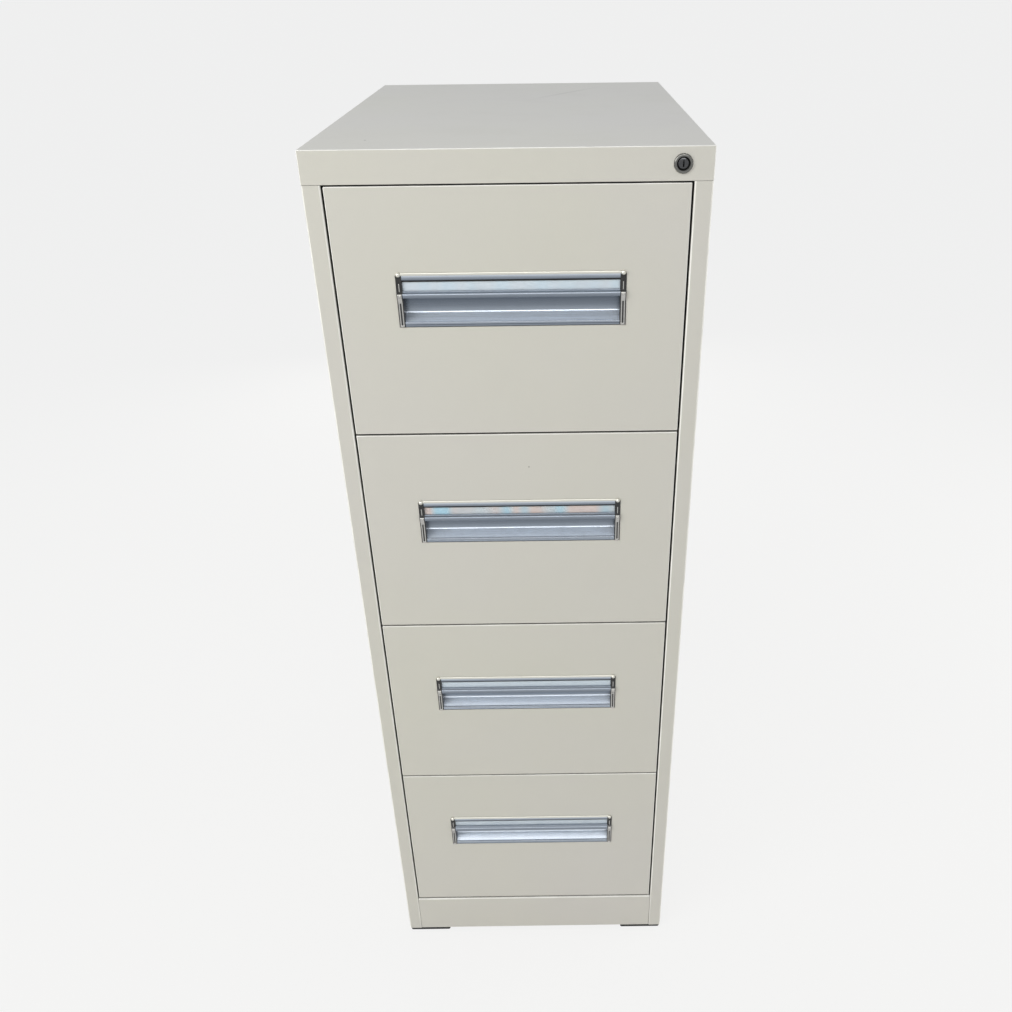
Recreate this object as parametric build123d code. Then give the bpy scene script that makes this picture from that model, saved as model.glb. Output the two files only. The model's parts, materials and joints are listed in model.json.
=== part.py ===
from build123d import *
import math
import os

os.makedirs("parts", exist_ok=True)

# Case. Lengths are in millimetres. X runs right, Y runs back, Z runs up from the floor.
DRAWER_COUNT = 4
CASE_WIDTH = 450
CASE_SHEET = 1
CASE_BEND = 1
CAP_HEIGHT = 36
CAP_GAP = 2
CAP_SEAM = 0.4
CAP_RETURN = 15
DRAWER_PITCH = 300
DRAWER_GAP = 2.5
PLINTH_GAP = 4.5
PLINTH_HEIGHT = 80
PLINTH_SEAM = 0.4
PLINTH_RETURN = 16
STILE_WIDTH = 21
STILE_RETURN_GAP = 2
STILE_GAP = 2.5
REAR_FLANGE = 15
FLOOR_FLANGE = 15
FLOOR_FLANGE_GAP = 4
TONGUE_HEIGHT = 28
TONGUE_LAP = 10
TONGUE_SETBACK = 36
PANEL_FIT = 0.4

# Feet.
FOOT_HEIGHT = 7
FOOT_LENGTH = 70
FOOT_DEPTH = 50
FOOT_INSET = 1.5
FOOT_CORNER = 3
FOOT_PEG_RADIUS = 5
FOOT_PEG_SIDES = 8
FOOT_PEG_FIT = 0.2
FOOT_PEG_RISE = 3
FOOT_BOSS = 20

# Slide posts.
POST_FACE_INSET = 22
POST_WIDTH = 40
POST_FOOT = 10
POST_SHEET = 1.2
POST_SETBACK = 30

# Telescopic slides.
SLIDE_THICKNESS = 12.7
SLIDE_LENGTH = 560
SLIDE_SETBACK = 26
SLIDE_BACK_SPACE = 34
SLIDE_RISE = 70
SLIDE_TRAVEL = 540
RAIL_SHEET = 1.2
CABINET_RAIL_HEIGHT = 45
CABINET_RAIL_DEPTH = 10.5
CABINET_RAIL_HOOK = 1.5
BALL_RADIUS = 1.85
BALL_TAPER = 25
BALL_PLAY = 0.2
BALL_ROW = 2
BALL_SPACING = 120
CAGE_SHEET = 0.6
CAGE_PLAY = 0.3
CAGE_MARGIN = 10
CAGE_DEPTH = 6
LUG_WIDTH = 10
LUG_INSET = 26
LUG_THICKNESS = 3
LUG_LIP = 5
LUG_PLAY = 0.3
STOP_LENGTH = 3
STOP_PLAY = 0.3

# Drawer body.
FRONT_SHEET = 1
FRONT_BEND = 1.2
HANDLE_BACK_GAP = 0.4
LINER_SHEET = 1
LINER_FIT = 0.3
TRAY_SHEET = 1
TRAY_BEND = 1.5
TRAY_END_GAP = 6
TRAY_RISE = 14
TRAY_SIDE_HEIGHT = 240
TRAY_BACK_HEIGHT = 200
TRAY_LIP = 8
FILE_RAIL_HEIGHT = 12
FILE_RAIL_SHEET = 1.2
FILE_RAIL_PLAY = 0.1
FILE_RAIL_INSET = 12

# Handle, measured down from its top edge and back from the drawer face.
HANDLE_DROP = 98
HANDLE_WIDTH = 265
HANDLE_FIT = 0.3
HANDLE_WALL = 1.6
HANDLE_POCKET_DEPTH = 17
HANDLE_RIM_TOP = 7.5
LABEL_WINDOW_HEIGHT = 12.5
LABEL_GROOVE = 1.8
LABEL_RECESS = 1.2
LABEL_SLOT = 1.4
LIP_OUT = 4
LIP_HEIGHT = 7
LIP_EDGE = 1.8
POCKET_MOUTH = 28
FLOOR_SLOPE = 6
FLOOR_FILLET = 3
RIM_HEIGHT = 7
RIM_GROOVE_INSET = 2
RIM_GROOVE_HALF = 0.6
RIM_GROOVE_DEPTH = 0.7
CAP_WIDTH = 7
CAP_RIM_OUT = 0.8
CAP_KNOB_OUT = 1.6
CAP_KNOB_HEIGHT = 6
CAP_LIP_OUT = 0.4
CARD_THICKNESS = 0.3
COVER_THICKNESS = 0.5
LABEL_PLAY = 0.15

# Lock.
LOCK_INSET = 34.4
ROSETTE_RADIUS = 10.5
ROSETTE_OUT = 2.5
BARREL_RADIUS = 9
BARREL_SIDES = 12
BARREL_LENGTH = 17
BARREL_FIT = 0.2
NUT_WIDTH = 24
NUT_THICKNESS = 4
PLUG_RADIUS = 6
PLUG_FIT = 0.1
PLUG_RECESS = 0.6
PLUG_TANG = 3
KEYWAY_WIDTH = 1.6
KEYWAY_HEIGHT = 7
KEYWAY_DEPTH = 9
CAM_PLAY = 0.4
CAM_THICKNESS = 1.8
CAM_THROW = 8.5
CAM_HUB_RADIUS = 6
CAM_SIDES = 8
CAM_PIN_RADIUS = 2
CAM_PIN_BOSS = 4
CAM_SWING = 90
CAM_SCREW_RADIUS = 3
CAM_SCREW_HEAD = 1.8
BAR_FRONT_GAP = 1
BAR_SHEET = 2
BAR_WIDTH = 10
BAR_STILE_GAP = 2
BAR_TRAY_GAP = 2.7
BAR_FOOT = 60
HOOK_HEIGHT = 10
HOOK_GAP = 2
FORK_PLAY = 0.5
FORK_PRONG = 3
FORK_START_GAP = 2
CATCH_DROP = 26
CATCH_HEIGHT = 10
CATCH_SHEET = 1.5
CATCH_GAP = 1.2
CATCH_POST_GAP = 1.2
GUIDE_HEIGHT = 16
GUIDE_PLAY = 0.3
GUIDE_WALL = 1.7
GUIDE_DROP = 150

# Places that follow from the sizes.
CASE_HEIGHT = (
    PLINTH_HEIGHT
    + PLINTH_GAP
    + DRAWER_COUNT * DRAWER_PITCH
    - DRAWER_GAP
    + CAP_GAP
    + CAP_HEIGHT
)
CASE_DEPTH = SLIDE_SETBACK + SLIDE_LENGTH + SLIDE_BACK_SPACE
FRONT_DEPTH = HANDLE_POCKET_DEPTH + HANDLE_WALL + HANDLE_BACK_GAP + LINER_SHEET
STILE_RETURN = FRONT_DEPTH - STILE_RETURN_GAP
TRAY_LENGTH = SLIDE_SETBACK + SLIDE_LENGTH - FRONT_DEPTH - TRAY_END_GAP
HALF_WIDTH = CASE_WIDTH / 2
FRONT_Y = (LIP_OUT + CAP_LIP_OUT - CASE_DEPTH) / 2
BACK_Y = FRONT_Y + CASE_DEPTH
CASE_TOP = FOOT_HEIGHT + CASE_HEIGHT
CAP_BOTTOM = CASE_TOP - CAP_HEIGHT
PLINTH_TOP = FOOT_HEIGHT + PLINTH_HEIGHT
WALL_X = HALF_WIDTH - CASE_SHEET
OPENING_X = HALF_WIDTH - STILE_WIDTH
DRAWER_X = OPENING_X - STILE_GAP
POST_FACE_X = HALF_WIDTH - POST_FACE_INSET
TRAY_X = POST_FACE_X - SLIDE_THICKNESS
FRONT_HEIGHT = DRAWER_PITCH - DRAWER_GAP
LINER_Y = FRONT_Y + FRONT_DEPTH - LINER_SHEET
TRAY_Y = FRONT_Y + FRONT_DEPTH
HANDLE_X = HANDLE_WIDTH / 2
LABEL_X = HANDLE_X - CAP_WIDTH
LOCK_X = HALF_WIDTH - LOCK_INSET
LOCK_Z = CASE_TOP - CAP_HEIGHT / 2
CAM_Y = FRONT_Y + BARREL_LENGTH + CAM_PLAY
BAR_Y = FRONT_Y + FRONT_DEPTH + BAR_FRONT_GAP
BAR_X = OPENING_X + BAR_STILE_GAP


def block(x0, x1, y0, y1, z0, z1):
    """Box between two corners."""
    size = Box(x1 - x0, y1 - y0, z1 - z0)
    return Pos((x0 + x1) / 2, (y0 + y1) / 2, (z0 + z1) / 2) * size


def rounded_face(points, radii):
    """Closed outline with a radius at each corner, 0 for a sharp one."""
    return make_face(FilletPolyline(*points, radius=radii, close=True))


def folded_sheet(points, thickness, bend):
    """Cross-section of a sheet folded along a centre line, inner bend radius 0 for sharp folds."""
    outer_bend = bend + thickness if bend > 0 else 0
    count = len(points)
    left = []
    right = []
    left_radii = []
    right_radii = []
    for index in range(count):
        x, y = points[index]
        before = points[max(index - 1, 0)]
        after = points[min(index + 1, count - 1)]
        first = before if index > 0 else after
        in_angle = math.atan2(y - first[1], x - first[0])
        if index == 0:
            in_angle = math.atan2(after[1] - y, after[0] - x)
        out_angle = in_angle
        if 0 < index < count - 1:
            out_angle = math.atan2(after[1] - y, after[0] - x)
        turn = math.remainder(out_angle - in_angle, 2 * math.pi)
        normal = in_angle + turn / 2 + math.pi / 2
        reach = thickness / 2 / math.cos(turn / 2)
        left.append((x + reach * math.cos(normal), y + reach * math.sin(normal)))
        right.append((x - reach * math.cos(normal), y - reach * math.sin(normal)))
        end = index in (0, count - 1)
        left_radii.append(0 if end else bend if turn > 0 else outer_bend)
        right_radii.append(0 if end else bend if turn < 0 else outer_bend)
    outline = left + right[::-1]
    return rounded_face(outline, left_radii + right_radii[::-1])


def along_x(face, x0, x1):
    """Extrude a face drawn in Y and Z between two X places."""
    return extrude(Plane.YZ.offset(x0) * face, x1 - x0)


def along_y(face, y0, y1):
    """Extrude a face drawn in X and Z between two Y places."""
    return extrude(Plane.XZ.offset(-y0) * face, y0 - y1)


def along_z(face, z0, z1):
    """Extrude a face drawn in X and Y between two Z places."""
    return extrude(Plane.XY.offset(z0) * face, z1 - z0)


def disc(radius, x, z, y0, y1):
    """Cylinder along Y between two Y places."""
    return along_y(Pos(x, z) * Circle(radius), y0, y1)


def flip(shape):
    """Mirror image on the other side of the cabinet."""
    return mirror(shape, about=Plane.YZ)


def group(shapes):
    """One node from several solids."""
    solids = []
    for shape in shapes:
        solids.extend(shape.solids())
    return Compound(solids)


def save(shape, name):
    """Write one node."""
    export_step(shape, "parts/" + name + ".step")


def drawer_top(number):
    """Height of the top edge of a drawer's face, drawers counted from the top."""
    return CAP_BOTTOM - CAP_GAP - (number - 1) * DRAWER_PITCH


def slide_height(number):
    """Height of the middle of a drawer's slides."""
    return drawer_top(number) - FRONT_HEIGHT + SLIDE_RISE


# Side panels: wall, front stile with its return, rear flange, floor flange and the tongue in the cap.
def side_panel():
    half = CASE_SHEET / 2
    line = [
        (HALF_WIDTH - REAR_FLANGE, BACK_Y - half),
        (HALF_WIDTH - half, BACK_Y - half),
        (HALF_WIDTH - half, FRONT_Y + half),
        (OPENING_X + half, FRONT_Y + half),
        (OPENING_X + half, FRONT_Y + STILE_RETURN),
    ]
    face = folded_sheet(line, CASE_SHEET, CASE_BEND)
    panel = along_z(face, FOOT_HEIGHT, CAP_BOTTOM - CAP_SEAM)
    floor_flange = block(
        HALF_WIDTH - FLOOR_FLANGE,
        HALF_WIDTH - half,
        FRONT_Y + STILE_RETURN + FLOOR_FLANGE_GAP,
        BACK_Y - STILE_RETURN - FLOOR_FLANGE_GAP,
        FOOT_HEIGHT,
        FOOT_HEIGHT + CASE_SHEET,
    )
    tongue = block(
        WALL_X - CASE_SHEET,
        WALL_X,
        FRONT_Y + TONGUE_SETBACK,
        BACK_Y - TONGUE_SETBACK,
        CAP_BOTTOM - TONGUE_LAP,
        CAP_BOTTOM + TONGUE_HEIGHT,
    )
    return panel + floor_flange + tongue


save(side_panel(), "side_panel_right")
save(flip(side_panel()), "side_panel_left")

# Back panel: inside the rear flanges, up into the cap.
back_x = WALL_X - CASE_BEND - PANEL_FIT
back_panel = block(
    -back_x,
    back_x,
    BACK_Y - 2 * CASE_SHEET,
    BACK_Y - CASE_SHEET,
    FOOT_HEIGHT + 2 * CASE_SHEET,
    CAP_BOTTOM + TONGUE_HEIGHT,
)
save(back_panel, "back_panel")

# Top cover: a pan, open below, with a return under its front band and the lock's hole.
cap_shell = block(-HALF_WIDTH, HALF_WIDTH, FRONT_Y, BACK_Y, CAP_BOTTOM, CASE_TOP)
cap_shell = fillet(cap_shell.edges().group_by(Axis.Z)[-1], CASE_BEND + CASE_SHEET)
cap_hollow = block(
    -WALL_X,
    WALL_X,
    FRONT_Y + CASE_SHEET,
    BACK_Y - CASE_SHEET,
    CAP_BOTTOM,
    CASE_TOP - CASE_SHEET,
)
cap_return = block(
    CASE_SHEET - OPENING_X,
    OPENING_X - CASE_SHEET,
    FRONT_Y + CASE_SHEET / 2,
    FRONT_Y + CAP_RETURN,
    CAP_BOTTOM,
    CAP_BOTTOM + CASE_SHEET,
)
hole_face = Pos(LOCK_X, LOCK_Z) * RegularPolygon(BARREL_RADIUS + BARREL_FIT, BARREL_SIDES)
lock_hole = along_y(hole_face, FRONT_Y - CASE_SHEET, FRONT_Y + 2 * CASE_SHEET)
save(cap_shell - cap_hollow + cap_return - lock_hole, "top_cover")

# Front plinth: channel between the stiles.
plinth_line = [
    (FRONT_Y + PLINTH_RETURN, PLINTH_TOP - CASE_SHEET / 2),
    (FRONT_Y + CASE_SHEET / 2, PLINTH_TOP - CASE_SHEET / 2),
    (FRONT_Y + CASE_SHEET / 2, FOOT_HEIGHT + CASE_SHEET / 2),
    (FRONT_Y + PLINTH_RETURN, FOOT_HEIGHT + CASE_SHEET / 2),
]
plinth_face = folded_sheet(plinth_line, CASE_SHEET, CASE_BEND)
plinth_x = OPENING_X - PLINTH_SEAM
save(along_x(plinth_face, -plinth_x, plinth_x), "front_plinth")

# Base tray: sheet on the floor flanges and the plinth's lower return, pierced for the feet.
base_z = FOOT_HEIGHT + CASE_SHEET
base_wide = block(
    PANEL_FIT - WALL_X,
    WALL_X - PANEL_FIT,
    FRONT_Y + STILE_RETURN + PANEL_FIT,
    BACK_Y - CASE_SHEET - PANEL_FIT,
    base_z,
    base_z + CASE_SHEET,
)
base_nose = block(
    PANEL_FIT - OPENING_X,
    OPENING_X - PANEL_FIT,
    FRONT_Y + CASE_SHEET + CASE_BEND,
    FRONT_Y + STILE_RETURN + PANEL_FIT,
    base_z,
    base_z + CASE_SHEET,
)
base_tray = base_wide + base_nose
foot_outer_x = HALF_WIDTH - FOOT_INSET
foot_x = foot_outer_x - FOOT_LENGTH / 2
foot_front_y = FRONT_Y + FOOT_INSET + FOOT_DEPTH / 2
foot_back_y = BACK_Y - FOOT_INSET - FOOT_DEPTH / 2
foot_places = [
    (-foot_x, foot_front_y),
    (foot_x, foot_front_y),
    (-foot_x, foot_back_y),
    (foot_x, foot_back_y),
]
for place_x, place_y in foot_places:
    hole_face = RegularPolygon(FOOT_PEG_RADIUS + FOOT_PEG_FIT, FOOT_PEG_SIDES)
    peg_hole = along_z(hole_face, base_z - CASE_SHEET, base_z + 2 * CASE_SHEET)
    base_tray -= Pos(place_x, place_y) * peg_hole
save(base_tray, "base_tray")

# Feet: moulded corner pads with a raised boss and a push-in peg.
foot_pad = along_z(chamfer(Rectangle(FOOT_LENGTH, FOOT_DEPTH).vertices(), FOOT_CORNER), 0, FOOT_HEIGHT)
foot_boss = along_z(Rectangle(FOOT_BOSS, FOOT_BOSS), FOOT_HEIGHT, base_z)
foot_peg = along_z(
    RegularPolygon(FOOT_PEG_RADIUS, FOOT_PEG_SIDES), base_z, base_z + CASE_SHEET + FOOT_PEG_RISE
)
foot = foot_pad + foot_boss + foot_peg
save(group([Pos(x, y) * foot for x, y in foot_places]), "feet")

# Slide posts: hat channels on the side walls, with a slot for each lug of a cabinet rail.
post_base = base_z + CASE_SHEET
post_top = CAP_BOTTOM - TONGUE_LAP
lug_height = LUG_THICKNESS + LUG_LIP
slide_y = FRONT_Y + SLIDE_SETBACK
post_middles = [
    FRONT_Y + POST_SETBACK + POST_WIDTH / 2,
    slide_y + SLIDE_LENGTH - LUG_INSET,
]


def slide_post(middle):
    half = POST_SHEET / 2
    side = POST_WIDTH / 2 - half
    line = [
        (WALL_X - half, middle - side - POST_FOOT),
        (WALL_X - half, middle - side),
        (POST_FACE_X + half, middle - side),
        (POST_FACE_X + half, middle + side),
        (WALL_X - half, middle + side),
        (WALL_X - half, middle + side + POST_FOOT),
    ]
    post = along_z(folded_sheet(line, POST_SHEET, 0), post_base, post_top)
    for number in range(1, DRAWER_COUNT + 1):
        low = slide_height(number) - lug_height - LUG_PLAY
        slot = block(
            POST_FACE_X - 1,
            POST_FACE_X + POST_SHEET + 1,
            middle - LUG_WIDTH / 2 - LUG_PLAY,
            middle + LUG_WIDTH / 2 + LUG_PLAY,
            low,
            slide_height(number) + LUG_PLAY,
        )
        post -= slot
    return post


posts = [slide_post(middle) for middle in post_middles]
posts += [flip(post) for post in posts]
save(group(posts), "slide_posts")

# Cross-sections of the three slide members, across from the post face and up from the slide's middle.
race_gap = 2 * BALL_RADIUS + 2 * BALL_PLAY
cabinet_half = CABINET_RAIL_HEIGHT / 2
middle_half = cabinet_half - RAIL_SHEET - race_gap
drawer_half = middle_half - RAIL_SHEET - race_gap
middle_web = RAIL_SHEET + CAGE_SHEET + 2 * CAGE_PLAY
inner_cage_web = middle_web + RAIL_SHEET + CAGE_PLAY
drawer_flange_start = inner_cage_web + CAGE_SHEET + CAGE_PLAY


def slide_sheet(points):
    """Slide member section from its centre line, points across and up."""
    return folded_sheet(points, RAIL_SHEET, 0)


def slide_solid(face, number, y0, length):
    """Slide member on the right side, its section turned towards the drawer."""
    placed = Pos(POST_FACE_X, slide_height(number)) * mirror(face, about=Plane.YZ)
    return along_y(placed, y0, y0 + length)


half_rail = RAIL_SHEET / 2
cabinet_section = slide_sheet(
    [
        (CABINET_RAIL_DEPTH - half_rail, cabinet_half - RAIL_SHEET - CABINET_RAIL_HOOK),
        (CABINET_RAIL_DEPTH - half_rail, cabinet_half - half_rail),
        (half_rail, cabinet_half - half_rail),
        (half_rail, half_rail - cabinet_half),
        (CABINET_RAIL_DEPTH - half_rail, half_rail - cabinet_half),
        (CABINET_RAIL_DEPTH - half_rail, RAIL_SHEET + CABINET_RAIL_HOOK - cabinet_half),
    ]
)
middle_section = slide_sheet(
    [
        (CABINET_RAIL_DEPTH, middle_half - half_rail),
        (middle_web + half_rail, middle_half - half_rail),
        (middle_web + half_rail, half_rail - middle_half),
        (CABINET_RAIL_DEPTH, half_rail - middle_half),
    ]
)
drawer_section = slide_sheet(
    [
        (drawer_flange_start, drawer_half - half_rail),
        (SLIDE_THICKNESS - half_rail, drawer_half - half_rail),
        (SLIDE_THICKNESS - half_rail, half_rail - drawer_half),
        (drawer_flange_start, half_rail - drawer_half),
    ]
)
lug_places = post_middles

# The outer retainer keeps to the back and the inner one to the front of the middle rail.
outer_race = cabinet_half - RAIL_SHEET - race_gap / 2
inner_race = middle_half - RAIL_SHEET - race_gap / 2
cage_length = (BALL_ROW - 1) * BALL_SPACING + 2 * CAGE_MARGIN
outer_cage_y = slide_y + SLIDE_LENGTH - CAGE_MARGIN - cage_length
inner_cage_y = slide_y + CAGE_MARGIN
half_travel = SLIDE_TRAVEL / 2


def cabinet_rail(number):
    """Cabinet rail with its stop and two lugs that hook down behind the post faces."""
    rail = slide_solid(cabinet_section, number, slide_y, SLIDE_LENGTH)
    height = slide_height(number)
    stop_y = outer_cage_y - half_travel - STOP_PLAY
    rail += block(
        POST_FACE_X - RAIL_SHEET - CAGE_PLAY - CAGE_SHEET,
        POST_FACE_X - half_rail,
        stop_y - STOP_LENGTH,
        stop_y,
        height - middle_half / 2,
        height + middle_half / 2,
    )
    for place in lug_places:
        y0 = place - LUG_WIDTH / 2
        y1 = place + LUG_WIDTH / 2
        out = POST_FACE_X + POST_SHEET + LUG_PLAY + LUG_THICKNESS
        rail += block(POST_FACE_X - half_rail, out, y0, y1, height - LUG_THICKNESS, height)
        rail += block(out - LUG_THICKNESS, out, y0, y1, height - lug_height, height)
    return rail


cabinet_rails = [cabinet_rail(number) for number in range(1, DRAWER_COUNT + 1)]
cabinet_rails += [flip(rail) for rail in cabinet_rails]
save(group(cabinet_rails), "cabinet_rails")

# One ball, cut to flats: two six-sided domes back to back.
dome = extrude(RegularPolygon(BALL_RADIUS, 6), amount=BALL_RADIUS, taper=BALL_TAPER)
ball = dome + mirror(dome, about=Plane.XY)


def cage_and_balls(number, web, race, ball_across, y0):
    """Retainer strip on the right side with its balls, starting at a Y place."""
    middle = web + CAGE_SHEET / 2
    reach = ball_across + CAGE_DEPTH / 2
    line = [(reach, race), (middle, race), (middle, -race), (reach, -race)]
    section = folded_sheet(line, CAGE_SHEET, 0)
    cage = slide_solid(section, number, y0, cage_length)
    pocket = 2 * BALL_RADIUS + BALL_PLAY
    pieces = []
    height = slide_height(number)
    for index in range(BALL_ROW):
        for sign in (1, -1):
            place = (
                POST_FACE_X - ball_across,
                y0 + CAGE_MARGIN + index * BALL_SPACING,
                height + sign * race,
            )
            cage -= Pos(*place) * Box(pocket, pocket, 2 * CAGE_SHEET)
            pieces.append(Pos(*place) * ball)
    return [cage] + pieces


def pair(shapes):
    """Solids of the right side with their mirror images."""
    return group(shapes + [flip(shape) for shape in shapes])


outer_ball_across = (RAIL_SHEET + CABINET_RAIL_DEPTH - RAIL_SHEET) / 2
inner_ball_across = (drawer_flange_start + SLIDE_THICKNESS - RAIL_SHEET) / 2

half_tray = TRAY_SHEET / 2


def tray_top(number):
    """Height of the top edges of a tray's sides."""
    return drawer_top(number) - FRONT_HEIGHT + TRAY_RISE + TRAY_SIDE_HEIGHT


def catch_low(number):
    """Height of the lower edge of a tray's lock catch."""
    return tray_top(number) - CATCH_DROP


def lock_catch(number):
    """Lug welded to the tray's right side, which the locking bar's hook holds."""
    low = catch_low(number)
    y0 = BAR_Y + 2 * BAR_SHEET + CATCH_GAP
    x1 = POST_FACE_X - CATCH_POST_GAP
    return block(TRAY_X, x1, y0, y0 + CATCH_SHEET, low, low + CATCH_HEIGHT)


def drawer_tray(number):
    """Folded tray with its back and the rails' slots."""
    bottom = drawer_top(number) - FRONT_HEIGHT + TRAY_RISE
    top = tray_top(number)
    line = [
        (TRAY_X - half_tray, top),
        (TRAY_X - half_tray, bottom + half_tray),
        (half_tray - TRAY_X, bottom + half_tray),
        (half_tray - TRAY_X, top),
    ]
    tray = along_y(folded_sheet(line, TRAY_SHEET, TRAY_BEND), TRAY_Y, TRAY_Y + TRAY_LENGTH)
    back = block(
        half_tray - TRAY_X,
        TRAY_X - half_tray,
        TRAY_Y + TRAY_LENGTH - TRAY_SHEET,
        TRAY_Y + TRAY_LENGTH,
        bottom + half_tray,
        bottom + TRAY_BACK_HEIGHT,
    )
    back_lip = block(
        TRAY_SHEET - TRAY_X,
        TRAY_X - TRAY_SHEET,
        TRAY_Y + TRAY_LENGTH - TRAY_LIP,
        TRAY_Y + TRAY_LENGTH,
        bottom + TRAY_BACK_HEIGHT - TRAY_SHEET,
        bottom + TRAY_BACK_HEIGHT,
    )
    tray += back + back_lip
    height = slide_height(number)
    for place in lug_places:
        slot = block(
            TRAY_X - TRAY_SHEET - 1,
            TRAY_X + 1,
            place - LUG_WIDTH / 2 - LUG_PLAY,
            place + LUG_WIDTH / 2 + LUG_PLAY,
            height - LUG_PLAY,
            height + lug_height + LUG_PLAY,
        )
        tray -= slot
        tray -= flip(slot)
    return tray


def drawer_rail(number):
    """Drawer rail with its stop plate and two lugs that hook up behind the tray's side."""
    rail = slide_solid(drawer_section, number, slide_y, SLIDE_LENGTH)
    height = slide_height(number)
    stop_y = inner_cage_y + cage_length + half_travel + STOP_PLAY
    rail += block(
        TRAY_X + half_rail,
        POST_FACE_X - inner_cage_web - CAGE_SHEET / 2,
        stop_y,
        stop_y + STOP_LENGTH,
        height - drawer_half + half_rail,
        height + drawer_half - half_rail,
    )
    for place in lug_places:
        y0 = place - LUG_WIDTH / 2
        y1 = place + LUG_WIDTH / 2
        inner = TRAY_X - TRAY_SHEET - LUG_PLAY - LUG_THICKNESS
        rail += block(inner, TRAY_X + half_rail, y0, y1, height, height + LUG_THICKNESS)
        rail += block(inner, inner + LUG_THICKNESS, y0, y1, height, height + lug_height)
    return rail


def file_rail(number):
    """Channel that caps the top edge of the tray's side and carries hanging files."""
    top = tray_top(number)
    reach = half_tray + FILE_RAIL_PLAY + FILE_RAIL_SHEET / 2
    middle = TRAY_X - half_tray
    crown = top + FILE_RAIL_SHEET / 2
    line = [
        (middle + reach, crown - FILE_RAIL_HEIGHT),
        (middle + reach, crown),
        (middle - reach, crown),
        (middle - reach, crown - FILE_RAIL_HEIGHT),
    ]
    section = folded_sheet(line, FILE_RAIL_SHEET, 0)
    return along_y(section, TRAY_Y + FILE_RAIL_INSET, TRAY_Y + TRAY_LENGTH - FILE_RAIL_INSET)


# Heights on the handle, down from its top edge.
window_bottom = HANDLE_RIM_TOP + LABEL_WINDOW_HEIGHT
lip_bottom = window_bottom + LIP_HEIGHT
floor_front = lip_bottom + POCKET_MOUTH
floor_back = floor_front - FLOOR_SLOPE
rim_groove = floor_front + RIM_GROOVE_INSET
handle_height = floor_front + RIM_HEIGHT


# Drawer front: pan with folded edges and a window for the handle.
def front_panel(number):
    top = drawer_top(number)
    bottom = top - FRONT_HEIGHT
    shell = block(-DRAWER_X, DRAWER_X, FRONT_Y, FRONT_Y + FRONT_DEPTH, bottom, top)
    shell = fillet(shell.edges().group_by(Axis.Y)[0], FRONT_BEND + FRONT_SHEET)
    hollow = block(
        FRONT_SHEET - DRAWER_X,
        DRAWER_X - FRONT_SHEET,
        FRONT_Y + FRONT_SHEET,
        FRONT_Y + FRONT_DEPTH,
        bottom + FRONT_SHEET,
        top - FRONT_SHEET,
    )
    handle_top = top - HANDLE_DROP
    window = block(
        -HANDLE_X - HANDLE_FIT,
        HANDLE_X + HANDLE_FIT,
        FRONT_Y - FRONT_SHEET,
        FRONT_Y + 2 * FRONT_SHEET,
        handle_top - handle_height - HANDLE_FIT,
        handle_top + HANDLE_FIT,
    )
    return shell - hollow - window


def front_liner(number):
    """Flat liner that closes the pan."""
    top = drawer_top(number) - FRONT_SHEET - LINER_FIT
    bottom = drawer_top(number) - FRONT_HEIGHT + FRONT_SHEET + LINER_FIT
    half = DRAWER_X - FRONT_SHEET - LINER_FIT
    return block(-half, half, LINER_Y, LINER_Y + LINER_SHEET, bottom, top)


# Handle profile: points as (behind the drawer face, below the handle's top edge).
groove_top = HANDLE_RIM_TOP - LABEL_GROOVE
groove_bottom = window_bottom + LABEL_GROOVE
groove_back = LABEL_RECESS + LABEL_SLOT
plate_back = groove_back + HANDLE_WALL
handle_back = HANDLE_POCKET_DEPTH + HANDLE_WALL


def handle_point(behind, below, top):
    return (FRONT_Y + behind, top - below)


def handle(number):
    """Extrusion with label grooves, pull lip, finger pocket and lower rim."""
    top = drawer_top(number) - HANDLE_DROP
    outline = [
        (0, 0, 0),
        (0, HANDLE_RIM_TOP, 0),
        (LABEL_RECESS, HANDLE_RIM_TOP, 0),
        (LABEL_RECESS, groove_top, 0),
        (groove_back, groove_top, 0),
        (groove_back, groove_bottom, 0),
        (LABEL_RECESS, groove_bottom, 0),
        (LABEL_RECESS, window_bottom, 0),
        (0, window_bottom, 0),
        (LIP_OUT * -0.6, window_bottom + LIP_HEIGHT * 0.3, 1.5),
        (-LIP_OUT, lip_bottom - LIP_EDGE, 0),
        (-LIP_OUT, lip_bottom, 0),
        (LIP_EDGE - LIP_OUT, lip_bottom, 0),
        (plate_back, groove_bottom + HANDLE_WALL, 1.5),
        (plate_back, HANDLE_WALL, 0),
        (HANDLE_POCKET_DEPTH, HANDLE_WALL, 2),
        (HANDLE_POCKET_DEPTH, floor_back, FLOOR_FILLET),
        (HANDLE_WALL, floor_front, 0),
        (0, floor_front, 0),
        (0, rim_groove - RIM_GROOVE_HALF, 0),
        (RIM_GROOVE_DEPTH, rim_groove, 0),
        (0, rim_groove + RIM_GROOVE_HALF, 0),
        (0, handle_height, 0),
        (HANDLE_WALL, handle_height, 0),
        (HANDLE_WALL, floor_front + HANDLE_WALL, 0),
        (handle_back, floor_back + HANDLE_WALL, 2),
        (handle_back, 0, 0),
    ]
    points = [handle_point(behind, below, top) for behind, below, radius in outline]
    radii = [radius for behind, below, radius in outline]
    return along_x(rounded_face(points, radii), -LABEL_X, LABEL_X)


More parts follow.
